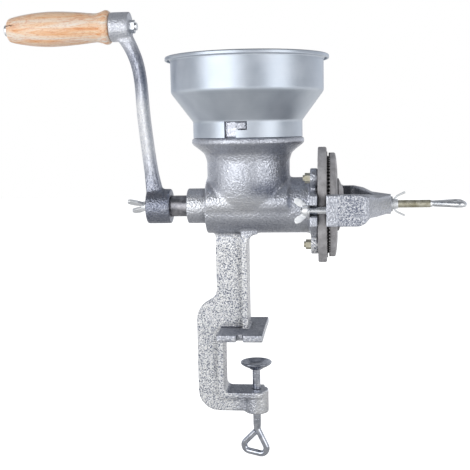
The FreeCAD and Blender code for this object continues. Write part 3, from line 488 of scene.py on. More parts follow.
def turnedSteel(tree, place, f):
    # lathe-turned or plated steel: fine tool rings across one axis break the highlight up
    along = addNode(tree, "ShaderNodeSeparateXYZ", None, {"Vector": place}, f["axis"])
    line = addNode(tree, "ShaderNodeCombineXYZ", None, {"X": along})
    rings = addNode(tree, "ShaderNodeTexNoise", None,
                    {"Vector": line, "Scale": 1 / f["pitch"], "Detail": 2.0})
    cloud = addNode(tree, "ShaderNodeTexNoise", None,
                    {"Vector": place, "Scale": 1 / f["cloud"], "Detail": 3.0})
    colour = addNode(tree, "ShaderNodeValToRGB", {"stops": [(0.32, f["dark"]), (0.66, f["light"])]},
                     (cloud,))
    bump = addNode(tree, "ShaderNodeBump", None,
                   {"Height": rings, "Strength": f["bump"], "Distance": f["bumpHeight"] * mm})
    rough = addNode(tree, "ShaderNodeMapRange", None, (cloud, 0.3, 0.7, f["rough"] * 0.8, f["rough"] * 1.3))
    return {"Base Color": colour, "Normal": bump, "Roughness": rough, "Metallic": f["metal"]}


# each grain is its scale per mm along and across, its detail and how far it wanders
beechFinish = {"wood": [(0.32, "#F2AC70"), (0.43, "#FFD6AE"), (0.54, "#FFEAD4"), (0.70, "#FFF8EE")],
               "line": [(0.0, "#CF7F42"), (0.14, "#FBC590"), (0.30, "#FFFFFF")],
               "fleck": [(0.36, "#D18C54"), (0.50, "#FFFFFF")],
               "woodGrain": ((0.011, 0.16, 0.16), 5.0, 0.7), "lineGrain": ((0.012, 0.15, 0.15), 3.0, 0.8),
               "fleckGrain": ((0.30, 1.1, 1.1), 4.0, 0.6),
               "linesPerWave": 8.0, "lineShare": 0.40, "fleckShare": 0.36,
               "crack": "#7A4320", "crackZ": shaftZ + 155.8, "crackWidth": (0.2, 0.7), "crackWander": 2.4,
               "crackX": (hopperX - 198.5, hopperX - 194), "crackY": (-1.0, 0.0), "wavesPerMm": 0.35,
               "bump": 0.18, "bumpHeight": 0.2, "rough": 0.46, "coat": 0.15, "coatRough": 0.3}


def lacqueredBeech(tree, place, f):
    # turned beech under thin lacquer: cream wood with orange-brown patches, long wavy grain lines, short
    # fine flecks and one drying crack running in from the outer end
    grains = []
    for scale, detail, wander in (f["woodGrain"], f["lineGrain"], f["fleckGrain"]):
        stretched = addNode(tree, "ShaderNodeMapping", None, {"Vector": place, "Scale": scale})
        grains.append(addNode(tree, "ShaderNodeTexNoise", None,
                              {"Vector": stretched, "Scale": 1.0, "Detail": detail, "Roughness": 0.6,
                               "Distortion": wander}))
    waves = addNode(tree, "ShaderNodeMath", {"operation": "MULTIPLY"}, (grains[1], f["linesPerWave"]))
    folded = addNode(tree, "ShaderNodeMath", {"operation": "PINGPONG"}, (waves, 1.0))
    colour = addNode(tree, "ShaderNodeValToRGB", {"stops": f["wood"]}, (grains[0],))
    lines = addNode(tree, "ShaderNodeValToRGB", {"stops": f["line"]}, (folded,))
    flecks = addNode(tree, "ShaderNodeValToRGB", {"stops": f["fleck"]}, (grains[2],))
    for share, marks in ((f["lineShare"], lines), (f["fleckShare"], flecks)):
        colour = addNode(tree, "ShaderNodeMix", {"data_type": "RGBA", "blend_type": "MULTIPLY"},
                         {0: share, 6: colour, 7: marks}, 2)
    parts = addNode(tree, "ShaderNodeSeparateXYZ", None, {"Vector": place}, None).outputs
    wander = addNode(tree, "ShaderNodeTexNoise", None, {"Vector": place, "Scale": f["wavesPerMm"]})
    off = addNode(tree, "ShaderNodeMath", {"operation": "MULTIPLY_ADD"},
                  (wander, f["crackWander"], parts["Z"]))
    off = addNode(tree, "ShaderNodeMath", {"operation": "SUBTRACT"}, (off, f["crackZ"]))
    off = addNode(tree, "ShaderNodeMath", {"operation": "ABSOLUTE"}, (off,))
    crack = mask(tree, (off, *f["crackWidth"], 1, 0), (parts["X"], *f["crackX"], 1, 0),
                 (parts["Y"], *f["crackY"], 1, 0))
    colour = addNode(tree, "ShaderNodeMix", {"data_type": "RGBA"},
                     {0: crack, 6: colour, 7: linear(f["crack"])}, 2)
    bump = addNode(tree, "ShaderNodeBump", None,
                   {"Height": folded, "Strength": f["bump"], "Distance": f["bumpHeight"] * mm})
    return {"Base Color": colour, "Normal": bump, "Roughness": f["rough"], "Coat Weight": f["coat"],
            "Coat Roughness": f["coatRough"]}


bodyEnamel = newMaterial("hammeredEnamelOnRoughCasting", hammeredEnamel, bodyFinish)
yokeEnamel = newMaterial("hammeredEnamelOnYoke", hammeredEnamel, yokeFinish)
crankEnamel = newMaterial("hammeredEnamelOnDressedCasting", hammeredEnamel, crankFinish)
tinned = newMaterial("tinnedSheetSpun", spunSheet, tinFinish)
iron = newMaterial("greyIronSandCast", bareCasting, ironFinish)
darkSteel = newMaterial("shaftSteelTurned", turnedSteel, shaftFinish)
zinc = newMaterial("zincPlateBright", turnedSteel, zincFinish)
zincUpright = newMaterial("zincPlateBrightUpright", turnedSteel, uprightFinish)
passivated = newMaterial("zincPlateYellowPassivated", turnedSteel, yellowFinish)
shadedZinc = newMaterial("zincPlatePaintedShade", turnedSteel, shadedZincFinish)
pressedZinc = newMaterial("zincPlatePressed", turnedSteel, pressedFinish)
beech = newMaterial("beechTurnedLacquered", lacqueredBeech, beechFinish)
print("materials done")


# geometry node groups

def nodeGroup(name, inputs):
    group = bpy.data.node_groups.new(name, "GeometryNodeTree")
    group.interface.new_socket("Geometry", in_out="INPUT", socket_type="NodeSocketGeometry")
    for label, kind in inputs:
        group.interface.new_socket(label, in_out="INPUT", socket_type="NodeSocket" + kind)
    group.interface.new_socket("Geometry", in_out="OUTPUT", socket_type="NodeSocketGeometry")
    return group, addNode(group, "NodeGroupInput", out=None).outputs


def groupEnd(group, geometry, material):
    solid = addNode(group, "GeometryNodeRealizeInstances", None, {"Geometry": geometry})
    painted = addNode(group, "GeometryNodeSetMaterial", None, {"Geometry": solid, "Material": material})
    addNode(group, "NodeGroupOutput", None, {"Geometry": painted})


def runGroup(group, mesh, values):
    holder = placed("work", mesh)
    modifier = holder.modifiers.new("nodes", "NODES")
    modifier.node_group = group
    for item in group.interface.items_tree:
        if item.in_out == "INPUT" and item.name in values:
            modifier[item.identifier] = values[item.name]
    return baked(holder)


# a rod bent along a path of straight runs, each corner eased to one radius
bentRod, ins = nodeGroup("bentRod", [("Wire", "Float"), ("Bend", "Float"), ("Sides", "Int"),
                                     ("Material", "Material")])
path = addNode(bentRod, "GeometryNodeMeshToCurve", None, {"Mesh": ins["Geometry"]})
eased = addNode(bentRod, "GeometryNodeFilletCurve", {"mode": "POLY"},
                {"Curve": path, "Radius": ins["Bend"], "Count": 10, "Limit Radius": True})
ring = addNode(bentRod, "GeometryNodeCurvePrimitiveCircle", None,
               {"Radius": ins["Wire"], "Resolution": ins["Sides"]})
tube = addNode(bentRod, "GeometryNodeCurveToMesh", None,
               {"Curve": eased, "Profile Curve": ring, "Fill Caps": True})
groupEnd(bentRod, tube, ins["Material"])

# a screw thread: one ridge wound on a helix about Z
threadRidge, ins = nodeGroup("threadRidge", [("Radius", "Float"), ("Length", "Float"), ("Pitch", "Float"),
                                             ("Ridge", "Float"), ("Material", "Material")])
turns = addNode(threadRidge, "ShaderNodeMath", {"operation": "DIVIDE"}, (ins["Length"], ins["Pitch"]))
helix = addNode(threadRidge, "GeometryNodeCurveSpiral", None,
                {"Resolution": 28, "Rotations": turns, "Start Radius": ins["Radius"],
                 "End Radius": ins["Radius"], "Height": ins["Length"]})
crest = addNode(threadRidge, "GeometryNodeCurvePrimitiveCircle", None,
                {"Radius": ins["Ridge"], "Resolution": 4})
wound = addNode(threadRidge, "GeometryNodeCurveToMesh", None,
                {"Curve": helix, "Profile Curve": crest, "Fill Caps": True})
groupEnd(threadRidge, wound, ins["Material"])

# grinding teeth: one bar set round a circle, square to the shaft
toothRing, ins = nodeGroup("toothRing", [("Teeth", "Int"), ("Radius", "Float"), ("Bar", "Vector"),
                                         ("Lean", "Float"), ("Material", "Material")])
circle = addNode(toothRing, "GeometryNodeMeshCircle", None,
                 {"Vertices": ins["Teeth"], "Radius": ins["Radius"]})
where = addNode(toothRing, "GeometryNodeInputPosition")
facing = addNode(toothRing, "FunctionNodeAlignRotationToVector", {"axis": "X", "pivot_axis": "Z"},
                 {"Vector": where})
leaning = addNode(toothRing, "ShaderNodeCombineXYZ", None, {"Z": ins["Lean"]})
skewed = addNode(toothRing, "FunctionNodeRotateRotation", {"rotation_space": "LOCAL"},
                 {"Rotation": facing, "Rotate By": leaning})
barShape = addNode(toothRing, "GeometryNodeMeshCube", None, {"Size": ins["Bar"]})
copies = addNode(toothRing, "GeometryNodeInstanceOnPoints", None,
                 {"Points": circle, "Instance": barShape, "Rotation": skewed})
groupEnd(toothRing, copies, ins["Material"])

rodSides = 24
threadPitch = 1.25        # mm


def rod(points, wire, bend, material, sides=rodSides):
    path = bpy.data.meshes.new("path")
    path.from_pydata([spot(*p) for p in points], [(i, i + 1) for i in range(len(points) - 1)], [])
    return runGroup(bentRod, path,
                    {"Wire": wire * mm, "Bend": bend * mm, "Sides": sides, "Material": material})


def thread(material, start, end, radius, axis, centre, ridge):
    # ridge stands just proud of the rod's core, its crest at the rod's full size
    mesh = runGroup(threadRidge, bpy.data.meshes.new("seed"),
                    {"Radius": (radius - ridge) * mm, "Length": (end - start) * mm,
                     "Pitch": threadPitch * mm, "Ridge": ridge * mm, "Material": material})
    turn = Matrix.Rotation(math.radians(90), 4, "Y") if axis == "x" else Matrix.Identity(4)
    first = spot(*(Vector(centre) + (Vector((start, 0, 0)) if axis == "x" else Vector((0, 0, start)))))
    mesh.transform(Matrix.Translation(first) @ turn)
    return mesh


# hopper

# easing is the radius of each corner from the neck to the rolled lip; slot and entry are in degrees
hopper = {"neck": 44.9, "neckLow": 57.5, "neckTop": 71.3, "wall": 62.8, "shoulder": 95.2,
          "rim": 68.2, "rimTop": 124.5, "easing": [0, 4.0, 5.0, 3.0, 1.6, 1.2, 0.9, 0],
          "sheet": 0.9, "row": 2.2, "segments": 480,
          "slotLow": 63.4, "slotHigh": 70.8, "slot": (-18.7, 4.8), "entry": (-18.7, -6.7)}


def hopperProfile():
    h = hopper
    rim, top = h["rim"], h["rimTop"]
    corners = [(h["neck"], h["neckLow"]), (h["neck"], h["neckTop"]), (h["wall"], h["shoulder"]),
               (h["wall"], top - 3.2), (rim - 1.6, top), (rim, top - 0.6),
               (rim, top - 3.4), (rim - 1.5, top - 3.6)]
    eased = rounded(corners, h["easing"], 6)
    profile = []
    for (r0, z0), (r1, z1) in zip(eased, eased[1:]):
        pieces = max(1, int(math.hypot(r1 - r0, z1 - z0) / h["row"]))
        profile += [(r0 + (r1 - r0) * k / pieces, z0 + (z1 - z0) * k / pieces) for k in range(pieces)]
    profile.append(eased[-1])
    # the neck's rows fall on the edges of the slots
    levels = [*np.linspace(h["neckLow"], h["slotLow"], 4), *np.linspace(h["slotLow"], h["slotHigh"], 5)[1:]]
    return [(h["neck"], z) for z in levels] + [p for p in profile if p[1] > h["slotHigh"] + 0.4]


def inSlot(degrees, level):
    # a bayonet slot at the front and one at the back, each an entry from below and a channel to one side
    h = hopper
    for side in (0, 180):
        d = (degrees - side + 180) % 360 - 180
        channel = h["slotLow"] < level < h["slotHigh"] and h["slot"][0] < d < h["slot"][1]
        entry = level < h["slotLow"] and h["entry"][0] < d < h["entry"][1]
        if channel or entry:
            return True
    return False


def buildHopper():
    profile = hopperProfile()
    count = hopper["segments"]
    bm = bmesh.new()
    angles = [2 * math.pi * s / count for s in range(count)]
    rings = [[bm.verts.new(spot(r * math.sin(a), -r * math.cos(a), z)) for a in angles] for r, z in profile]
    for i in range(len(rings) - 1):
        level = (profile[i][1] + profile[i + 1][1]) / 2
        for s in range(count):
            after = (s + 1) % count
            if not inSlot(360 * (s + 0.5) / count, level):
                bm.faces.new([rings[i][s], rings[i][after], rings[i + 1][after], rings[i + 1][s]])
    bmesh.ops.delete(bm, geom=[v for v in bm.verts if not v.link_faces], context="VERTS")
    skin = meshFrom(bm, "hopperSkin")
    return withModifier(skin, "SOLIDIFY", {"thickness": hopper["sheet"] * mm, "offset": -1.0})


meshObject("hopperShell", buildHopper(), tinned, "hopper", ["hopper"], 40)
print("hopper done")


# body, crank and yoke

bodyCast = {"voxel": 0.75, "even": 2, "fill": 22, "limit": 190000}
bodyFill = {"throat": 0.35, "ribs": 0.06, "foot": 0.6, "footZ": (-36, -16), "flangeX": 38,
            "corner": (-23.2, -160.2), "cornerReach": 13, "spigot": 40, "spigotZ": 56.2, "bore": 19.5,
            "plateX": 57.5, "clampX": 3.8, "clampHole": 6, "clampZ": -150}
throat = {"radius": 34.8, "depth": 23.0, "top": 38.0, "foot": -4.0, "barrel": 22.6,
          "fullness": 3.0, "skin": 0.94}
crankCast = {"voxel": 0.6, "even": 10, "fill": 40, "limit": 90000}
crankArm = {"low": 16, "high": 142, "near": 2.0, "ridge": 0.35, "leftFall": 0.50, "leftCurve": 1.5,
            "rightFall": 0.60, "rightCurve": 2, "easeLow": 14, "easeHigh": 8, "sweepTop": 34,
            "sweep": 1.0, "armFill": 0.1}
yokeCast = {"voxel": 0.6, "even": 3, "fill": 6, "limit": 90000}


def bodyKeep(points):
    # how far the inside corners fill: fully under the flange and in the clamp frame's lower corner, less
    # where throat, barrel and column meet, hardly along the ribs and the jaw, not in the bores, under the
    # hopper or by the plate
    f = bodyFill
    x, y, z = millPlace(points)
    low, high = f["footZ"]
    amount = np.where(z > high, f["throat"], f["ribs"])
    amount = np.where((z < high) & (z > low), f["foot"], amount)
    corner = np.hypot(x - f["corner"][0], z - f["corner"][1]) < f["cornerReach"]
    amount = np.where(corner | ((x > f["flangeX"]) & (z < 0)), 1.0, amount)
    spigot = (np.hypot(x, y) > f["spigot"]) & (z > f["spigotZ"])
    bore = np.hypot(y, z) < f["bore"]
    clampHole = (np.hypot(x - f["clampX"], y) < f["clampHole"]) & (z < f["clampZ"])
    return np.where(spigot | bore | clampHole | (x > f["plateX"]), 0.0, amount)


def throatSection(mesh):
    # front and back of the throat come straight down and only turn in just above the barrel
    t = throat
    points = readPoints(mesh)
    x, y, z = millPlace(points)
    up = np.clip((z - t["foot"]) / (t["top"] - t["foot"]), 0, 1)
    swell = t["radius"] - t["depth"]
    was = t["depth"] + swell * up
    now = t["depth"] + swell * (1 - (1 - up) ** t["fullness"])
    skin = (np.hypot(x / t["radius"], y / was) > t["skin"]) & (np.abs(x) < t["radius"])
    skin &= (z > t["foot"]) & (z < t["top"]) & (np.hypot(y, z) > t["barrel"])
    points[:, 1] = np.where(skin, points[:, 1] * now / was, points[:, 1])
    writePoints(mesh, points)


def crankSection(mesh):
    # the arm is proud along a ridge right of its middle and falls away to both edges
    a = crankArm
    points = readPoints(mesh)
    z = millPlace(points)[2]
    rows = np.round(z)
    for level in range(a["low"], a["high"]):
        row = rows == level
        if not row.any():
            continue
        near = points[np.abs(z - level) < a["near"], 0]
        across = 2 * (points[row, 0] - near.min()) / (near.max() - near.min()) - 1
        left = np.clip(a["ridge"] - across, 0, None) / (1 + a["ridge"])
        right = np.clip(across - a["ridge"], 0, None) / (1 - a["ridge"])
        fall = np.maximum(a["leftFall"] * left ** a["leftCurve"], a["rightFall"] * right ** a["rightCurve"])
        ease = min(1.0, (level + 1 - a["low"]) / a["easeLow"], (a["high"] - level) / a["easeHigh"])
        points[row, 1] *= 1 - ease * fall
    writePoints(mesh, points)


def crankKeep(points):
    # the arm runs into its hub with a full sweep
    return np.where(millPlace(points)[2] < crankArm["sweepTop"], crankArm["sweep"], crankArm["armFill"])


bodyMesh = cast("mill_body", bodyCast, bodyKeep, throatSection)
meshObject("bodyCasting", bodyMesh, bodyEnamel, "frame", ["mill_body"], 0)
crankMesh = cast("crank_arm", crankCast, crankKeep, crankSection)
meshObject("crankCasting", crankMesh, crankEnamel, "rotor", ["crank_arm"], 0)
meshObject("yokeCasting", cast("yoke", yokeCast), yokeEnamel, "frame", ["yoke"], 0)
print("castings done")


# wooden grip and its spindle

# outline points are (share of the length, radius); waver is how far the grip is out of round
grip = {"left": -203.5, "right": -115.0, "height": 151.6, "bore": 3.25, "segments": 96, "waver": 0.22,
        "wavesPerMetre": (30, 60, 60), "waverFrom": 6.0,
        "outline": [(0.0, 8.2), (0.012, 9.6), (0.035, 10.4), (0.10, 11.7), (0.22, 13.4), (0.34, 14.35),
                    (0.44, 14.6), (0.56, 14.25), (0.70, 13.3), (0.81, 12.3), (0.87, 12.0), (0.92, 13.1),
                    (0.955, 14.2), (0.98, 14.1), (0.995, 13.2), (1.0, 12.4)]}


def buildGrip():
    g = grip
    length = g["right"] - g["left"]
    outer = spline([(g["left"] + share * length, radius) for share, radius in g["outline"]], 5)
    profile = [(g["left"], g["bore"])] + outer + [(g["right"], g["bore"])]
    mesh = lathe(profile, "x", (0, 0, g["height"]), g["segments"])
    axis = spot(0, 0, g["height"])
    for v in mesh.vertices:
        # a hand-turned piece is never quite round
        radial = Vector((0, v.co.y - axis.y, v.co.z - axis.z))
        if radial.length > g["waverFrom"] * mm:
            ripple = noise.noise(v.co * Vector(g["wavesPerMetre"]))
            v.co += radial.normalized() * ripple * (g["waver"] * mm)
    return mesh


meshObject("gripWood", buildGrip(), beech, "grip", ["handle_grip"], 50)

spindle = {"left": -207.4, "headEnd": -203.7, "head": 4.8, "crown": 3.2, "rod": 3.2,
           "right": -91.9, "segments": 48}


def buildSpindle():
    s = spindle
    left, end, right = s["left"], s["headEnd"], s["right"]
    dome = rounded([(left + 1.2, 0.0), (left, 0.9), (left, s["crown"]), (left + 1.0, s["head"]),
                    (end, s["head"]), (end, s["rod"])], [0, 0.8, 1.2, 0.8, 0.4, 0], 4)
    tail = rounded([(right - 0.2, s["rod"]), (right, s["rod"] - 0.5), (right, 0.0)], [0, 0.4, 0], 3)
    return lathe(dome + tail, "x", (0, 0, grip["height"]), s["segments"], closed=False)


meshObject("spindleRod", buildSpindle(), zinc, "rotor", ["handle_spindle"], 40)
print("grip done")


# burr plates

plates = {"face": 58.5, "thick": 7.2, "rim": 48.4, "rise": 0.6, "burr": 44.0, "mouth": 20.0, "gap": 1.0,
          "turning": 43.6, "turningThick": 7.1, "shaft": 9.05, "ridge": (37.2, 40.8), "ridgeHigh": 1.5,
          "groove": (36.2, 41.5), "grooveDeep": 2.2, "segments": 220, "lumpHigh": 0.12, "lumpWide": 2.4}
teeth = {"count": 84, "fixedBar": (3.1, 1.5, 1.4), "turningBar": (3.1, 1.5, 1.1), "lean": 12}


def sandCastPlate(profile):
    # sand-cast skin: low irregular lumps pushed along the surface
    mesh = lathe(profile, "x", (0, 0, 0), plates["segments"])
    high = plates["lumpHigh"]
    for v in mesh.vertices:
        p = v.co / (plates["lumpWide"] * mm)
        v.co += v.normal * (noise.noise(p) * high + 0.5 * noise.noise(p * 2.7) * high) * mm
    mesh.update()
    return mesh


def teethAt(x, radius, barSize, lean):
    mesh = runGroup(toothRing, bpy.data.meshes.new("seed"),
                    {"Teeth": teeth["count"], "Radius": radius * mm, "Bar": [b * mm for b in barSize],
                     "Lean": math.radians(lean), "Material": iron})
    mesh.transform(Matrix.Translation(spot(x, 0, 0)) @ Matrix.Rotation(math.radians(90), 4, "Y"))
    return mesh


def buildFixedPlate():
    p = plates
    face, rim, burr = p["face"], p["rim"], p["burr"]
    step = face + p["thick"]
    top = step + p["rise"]
    crown = top + p["ridgeHigh"]
    inner, outer = p["ridge"]
    corners = [(face, p["mouth"]), (face, rim), (step, rim), (step, burr + 0.6), (step + 0.1, burr - 1.6),
               (top, burr - 2.4), (top, outer), (crown, outer - 0.4), (crown, inner + 0.4), (top, inner),
               (top, p["mouth"])]
    plate = sandCastPlate(rounded(corners, [0, 1.2, 1.8, 0.5, 0.3, 0.3, 0, 0.3, 0.3, 0, 0], 4))
    return joined([plate, teethAt(top - 0.7, burr - 1.3, teeth["fixedBar"], teeth["lean"])])


def buildTurningPlate():
    p = plates
    rim = p["turning"]
    start = p["face"] + p["thick"] + p["rise"] + p["gap"]
    end = start + p["turningThick"]
    floor = start + p["grooveDeep"]
    inner, outer = p["groove"]
    corners = [(start, p["shaft"]), (start, inner), (floor, inner + 0.3), (floor, outer - 0.3),
               (start, outer), (start, rim - 1.8), (start + 1.1, rim - 0.1), (end - 1.7, rim),
               (end - 0.8, rim - 5), (end, rim - 14), (end, p["shaft"])]
    plate = sandCastPlate(rounded(corners, [0, 0, 0.3, 0.3, 0, 0.3, 0.4, 1.8, 6, 8, 0], 4))
    return joined([plate, teethAt(start + 0.6, rim - 1.7, teeth["turningBar"], -teeth["lean"])])


meshObject("fixedBurrPlate", buildFixedPlate(), iron, "frame", ["stationary_plate"], 40)
meshObject("turningBurrPlate", buildTurningPlate(), iron, "rotor", ["rotating_plate"], 40)
print("plates done")


# screws with bent eyes

clampScrew = {"axis": 3.8, "top": -142.4, "end": -197.2, "rod": 3.45, "core": 3.37, "ridge": 0.11,
              "tip": 2.4, "tipLong": 2.2, "wire": 2.75, "bend": 5.2, "eye": 12.2, "turn": -12, "lean": 8,
              "segments": 40}
adjuster = {"start": 88.2, "end": 152.0, "rod": 3.3, "core": 3.2, "ridge": 0.16, "point": 2.0,
            "wire": 2.5, "bend": 4.5, "eye": 18.0, "segments": 40}


def eyePath(side, bend, hand):
    # rounded triangle from the rod, round the loop to one hand and back to a cut end beside the rod
    full = hand * (side / 2 + 1.732 * bend)
    low = -0.866 * side - 2 * bend
    return [(0.0, 4.0), (0.0, 1.0), (full, low), (-full, low), (-0.9 * hand, -1.6)]


def buildClamp():
    s = clampScrew
    centre = (s["axis"], 0, 0)
    end, top, core, tip = s["end"], s["top"], s["core"], s["tip"]
    lean = Matrix.Rotation(math.radians(s["lean"]), 4, "Y")
    turn = Matrix.Rotation(math.radians(s["turn"]), 4, "Z") @ lean
    loop = [turn @ Vector((x, 0, z)) for x, z in eyePath(s["eye"], s["bend"], 1)]
    eye = rod([(s["axis"] + p.x, p.y, end + p.z) for p in loop], s["wire"], s["bend"], zincUpright)
    profile = [(end - 0.5, 0.0), (end - 0.5, s["wire"]), (end + 5, core), (top - 0.4, core),
               (top, core - 0.4), (top, tip), (top + s["tipLong"], tip), (top + s["tipLong"], 0.0)]
    shank = lathe(profile, "z", centre, s["segments"], closed=False)
    ridge = thread(zincUpright, end + 6, top - 1, s["rod"], "z", centre, s["ridge"])
    return joined([eye, shank, ridge])


def buildAdjuster():
    s = adjuster
    centre = (0, 0, 0)
    start, end, core = s["start"], s["end"], s["core"]
    tilt = Matrix.Rotation(math.radians(90), 4, "X")
    loop = [tilt @ Vector((-z, 0, x)) for x, z in eyePath(s["eye"], s["bend"], -1)]
    eye = rod([(end + 0.5 + p.x, p.y, p.z) for p in loop], s["wire"], s["bend"], zinc)
    bare = end - 1        # where the thread runs out into the bent wire
    taper = [(bare, 0.0), (bare, core), (end + 1, s["wire"]), (end + 1, 0.0)]
    shank = lathe(taper, "x", centre, s["segments"], closed=False)
    straight = [(start, 0.0), (start, s["point"]), (start + 1.2, core), (bare, core), (bare, 0.0)]
    threaded = lathe(straight, "x", centre, s["segments"], closed=False)
    ridge = thread(passivated, start + 1, bare - 0.3, s["rod"], "x", centre, s["ridge"])
    return joined([eye, shank]), joined([threaded, ridge])


meshObject("clampScrewRod", buildClamp(), zincUpright, "clamp", ["clamp_screw"], 40)
adjusterEye, adjusterThread = buildAdjuster()
meshObject("adjustingScrewEye", adjusterEye, zinc, "adjuster", ["adjusting_screw"], 40)
meshObject("adjustingScrewThread", adjusterThread, passivated, "adjuster", ["adjusting_screw"],
           40)

# outline points are (depth below the top, radius), from the dished face over the lip to the socket
cup = {"axis": 3.8, "top": -135.8, "segments": 96,
       "outline": [(3.4, 0.0), (2.9, 6.5), (0.6, 12.2), (0.0, 12.9), (0.4, 13.5), (1.6, 13.4),
                   (3.8, 10.4), (5.3, 6.4), (6.6, 5.7), (6.6, 2.55), (4.2, 2.55), (4.2, 0.0)],
       "easing": [0, 5, 1.5, 0.4, 0.5, 0.8, 3, 1.2, 0.6, 0, 0, 0]}
cupProfile = rounded([(cup["top"] - depth, radius) for depth, radius in cup["outline"]], cup["easing"], 5)
cupMesh = lathe(cupProfile, "z", (cup["axis"], 0, 0), cup["segments"], closed=False)
meshObject("clampCup", cupMesh, shadedZinc, "cup", ["clamp_cup"], 45)
print("screws done")


# wing nuts and small hardware

wingCast = {"voxel": 0.22, "even": 4, "fill": 6, "limit": 40000}
wingNuts = {"front_wing_nut": ("front_nut", "frontWingNut"), "rear_wing_nut": ("rear_nut", "rearWingNut"),
            "crank_wing_screw": ("crank_screw", "crankWingScrew")}
for node, (body, label) in wingNuts.items():
    meshObject(label, cast(node, wingCast), pressedZinc, body, [node], 0)

# leaf points are (along from the foot, out from the axis)
lockNut = {"foot": 120.2, "length": 4.3, "radius": 4.6, "crown": 3.91, "bore": 3.36, "segments": 48,
           "leaf": [(1.2, 3.7), (3.2, 6.4), (10.2, 9.8)], "leafWire": 0.85, "leafBend": 4.0, "leafSides": 12}


def buildLockNut():
    # a lighter pressed nut: round hub and two slim leaves swept back
    n = lockNut
    foot, top = n["foot"], n["foot"] + n["length"]
    corners = [(foot, n["bore"]), (foot, n["radius"]), (top, n["crown"]), (top, n["bore"])]
    pieces = [lathe(rounded(corners, [0, 0.5, 0.9, 0], 4), "x", (0, 0, 0), n["segments"])]
    for side in (1, -1):
        leaf = [(foot + along, 0, side * out) for along, out in n["leaf"]]
        pieces.append(rod(leaf, n["leafWire"], n["leafBend"], zinc, n["leafSides"]))
    return joined(pieces)


meshObject("lockWingNut", buildLockNut(), pressedZinc, "lock_nut", ["lock_wing_nut"], 40)

# solids whose shape is right as it is
plain = {"auger": darkSteel, "plate_carrier": iron, "drive_pin": darkSteel, "thrust_ball": darkSteel,
         "yoke_studs": zinc, "plate_bolts": passivated, "plate_nuts": passivated, "spindle_nut": zinc,
         "crank_washer": zinc, "front_washer": zinc, "rear_washer": zinc, "lock_washer": zinc}
for node, material in plain.items():
    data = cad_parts[node].data
    data.materials.clear()
    data.materials.append(material)
print("hardware done")


# stage: white paper behind and below, soft lamps, camera

lamps = {"keyLeft": {"place": (-0.55, -0.85, 0.26), "size": (1.05, 0.9), "power": 5.5},
         "fillRight": {"place": (0.85, -0.70, 0.24), "size": (0.7, 0.9), "power": 2.8}}
for name, values in lamps.items():
    lamp = bpy.data.lights.new(name, "AREA")
    lamp.shape = "RECTANGLE"
    lamp.size, lamp.size_y = values["size"]
    lamp.energy = values["power"]
    holder = placed(name, lamp)
    holder.location = values["place"]
    holder.rotation_euler = (spot(0, 0, 0) - Vector(values["place"])).to_track_quat("-Z", "Y").to_euler()

# the room as the metal sees it: bright paper behind to the left and right, dimmer straight behind, at the
# sides and in front, a dim ceiling; around starts and ends at the back, above runs from floor to ceiling
room = {"tint": "#F2F5FB", "strength": 0.88,
        "around": [(0.0, 0.40), (0.10, 1.35), (0.21, 0.80), (0.32, 0.55), (0.5, 0.58), (0.63, 0.66),
                   (0.74, 0.60), (0.82, 0.85), (0.91, 1.35), (1.0, 0.40)],
        "above": [(0.30, 0.6), (0.50, 1.0), (0.58, 0.95), (0.72, 0.62), (0.95, 0.40)]}
world = bpy.data.worlds.new("studio")
scene.world = world
world.use_nodes = True
tree = world.node_tree
tree.nodes.clear()
toCamera = addNode(tree, "ShaderNodeLightPath", out="Is Camera Ray")
way = addNode(tree, "ShaderNodeTexCoord", out="Generated")
parts = addNode(tree, "ShaderNodeSeparateXYZ", None, {"Vector": way}, None).outputs
front = addNode(tree, "ShaderNodeMath", {"operation": "MULTIPLY"}, (parts["Y"], -1.0))
turn = addNode(tree, "ShaderNodeMath", {"operation": "ARCTAN2"}, (parts["X"], front))
around = addNode(tree, "ShaderNodeMapRange", None, (turn, -math.pi, math.pi, 0, 1))
above = addNode(tree, "ShaderNodeMapRange", None, (parts["Z"], -1, 1, 0, 1))
sides = addNode(tree, "ShaderNodeValToRGB", {"stops": room["around"]}, (around,))
heights = addNode(tree, "ShaderNodeValToRGB", {"stops": room["above"]}, (above,))
colour = linear(room["tint"])
for levels in (heights, sides):
    colour = addNode(tree, "ShaderNodeMix", {"data_type": "RGBA", "blend_type": "MULTIPLY"},
                     {0: 1.0, 6: levels, 7: colour}, 2)
studio = addNode(tree, "ShaderNodeBackground", None, {"Color": colour, "Strength": room["strength"]})
white = addNode(tree, "ShaderNodeBackground", None, {"Color": linear("#FFFFFF"), "Strength": 1.0})
choice = addNode(tree, "ShaderNodeMixShader", None, (toCamera, studio, white))
addNode(tree, "ShaderNodeOutputWorld", None, {"Surface": choice})

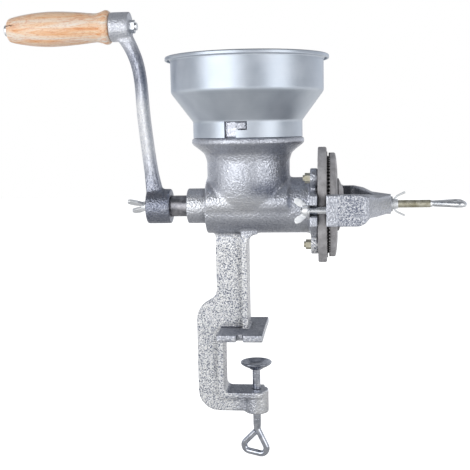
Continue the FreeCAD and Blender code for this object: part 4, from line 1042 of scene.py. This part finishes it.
# white paper under the mill: reads as the white ground to the camera and keeps a trace of the shadow; the
# metal sees it dimmer near the mill as painted shade and brighter further out, with painted pools of light
# below each lamp, given as (foot, level, radius)
paper = {"floorZ": -0.1115, "reach": 3.0, "matt": "#F0F1F3", "glow": 0.93, "lit": 0.9, "spread": (0.1, 0.8),
         "levels": (0.38, 0.95), "poolCore": 0.12,
         "paintedPools": [((-0.50, -0.72), 1.5, 0.50), ((0.62, -0.55), 0.9, 0.42)]}
paperSheet = bpy.data.materials.new("whitePaperMatt")
paperSheet.use_nodes = True
tree = paperSheet.node_tree
tree.nodes.clear()
rays = addNode(tree, "ShaderNodeLightPath", out=None).outputs
where = addNode(tree, "ShaderNodeTexCoord", out="Object")
matt = addNode(tree, "ShaderNodeBsdfDiffuse", None, {"Color": linear(paper["matt"])})
glow = addNode(tree, "ShaderNodeEmission", None, {"Color": linear("#FFFFFF"), "Strength": paper["glow"]})
lit = addNode(tree, "ShaderNodeBsdfDiffuse", None, {"Color": linear(paper["lit"])})
seen = addNode(tree, "ShaderNodeAddShader", None, (glow, lit))
away = addNode(tree, "ShaderNodeVectorMath", {"operation": "LENGTH"}, (where,), "Value")
level = addNode(tree, "ShaderNodeMapRange", None, (away, *paper["spread"], *paper["levels"]))
for (x, y), gain, wide in paper["paintedPools"]:
    gap = addNode(tree, "ShaderNodeVectorMath", {"operation": "DISTANCE"},
                  (where, (x, y, paper["floorZ"])), "Value")
    paintedPool = addNode(tree, "ShaderNodeMapRange", None, (gap, paper["poolCore"], wide, gain, 0))
    level = addNode(tree, "ShaderNodeMath", {"operation": "ADD", "use_clamp": True}, (level, paintedPool))
shine = addNode(tree, "ShaderNodeEmission", None, {"Color": linear("#FFFFFF"), "Strength": level})
lower = addNode(tree, "ShaderNodeMixShader", None, (rays["Is Glossy Ray"], matt, shine))
choice = addNode(tree, "ShaderNodeMixShader", None, (rays["Is Camera Ray"], lower, seen))
addNode(tree, "ShaderNodeOutputMaterial", None, {"Surface": choice})
floorMesh = bpy.data.meshes.new("paperFloor")
reach = paper["reach"]
corners = [(-reach, -reach), (reach, -reach), (reach, reach), (-reach, reach)]
floorMesh.from_pydata([(x, y, paper["floorZ"]) for x, y in corners], [], [(0, 1, 2, 3)])
floorMesh.materials.append(paperSheet)
floor = placed("paperFloor", floorMesh)

# fitted to the photograph's perspective: place in mm in the frame, turn in degrees
view = {"lens": 65.106, "sensor": 36, "clip": (0.01, 50), "place": (74.53, -717.07, 172.35),
        "turn": (83.0987, 1.092, 6.2678)}
camera = bpy.data.cameras.new("camera")
camera.sensor_width = view["sensor"]
camera.lens = view["lens"]
camera.clip_start, camera.clip_end = view["clip"]
holder = placed("camera", camera)
holder.location = Vector(view["place"]) * mm
holder.rotation_euler = [math.radians(a) for a in view["turn"]]
scene.camera = holder
scene.view_settings.view_transform = "Standard"

print("stage done")
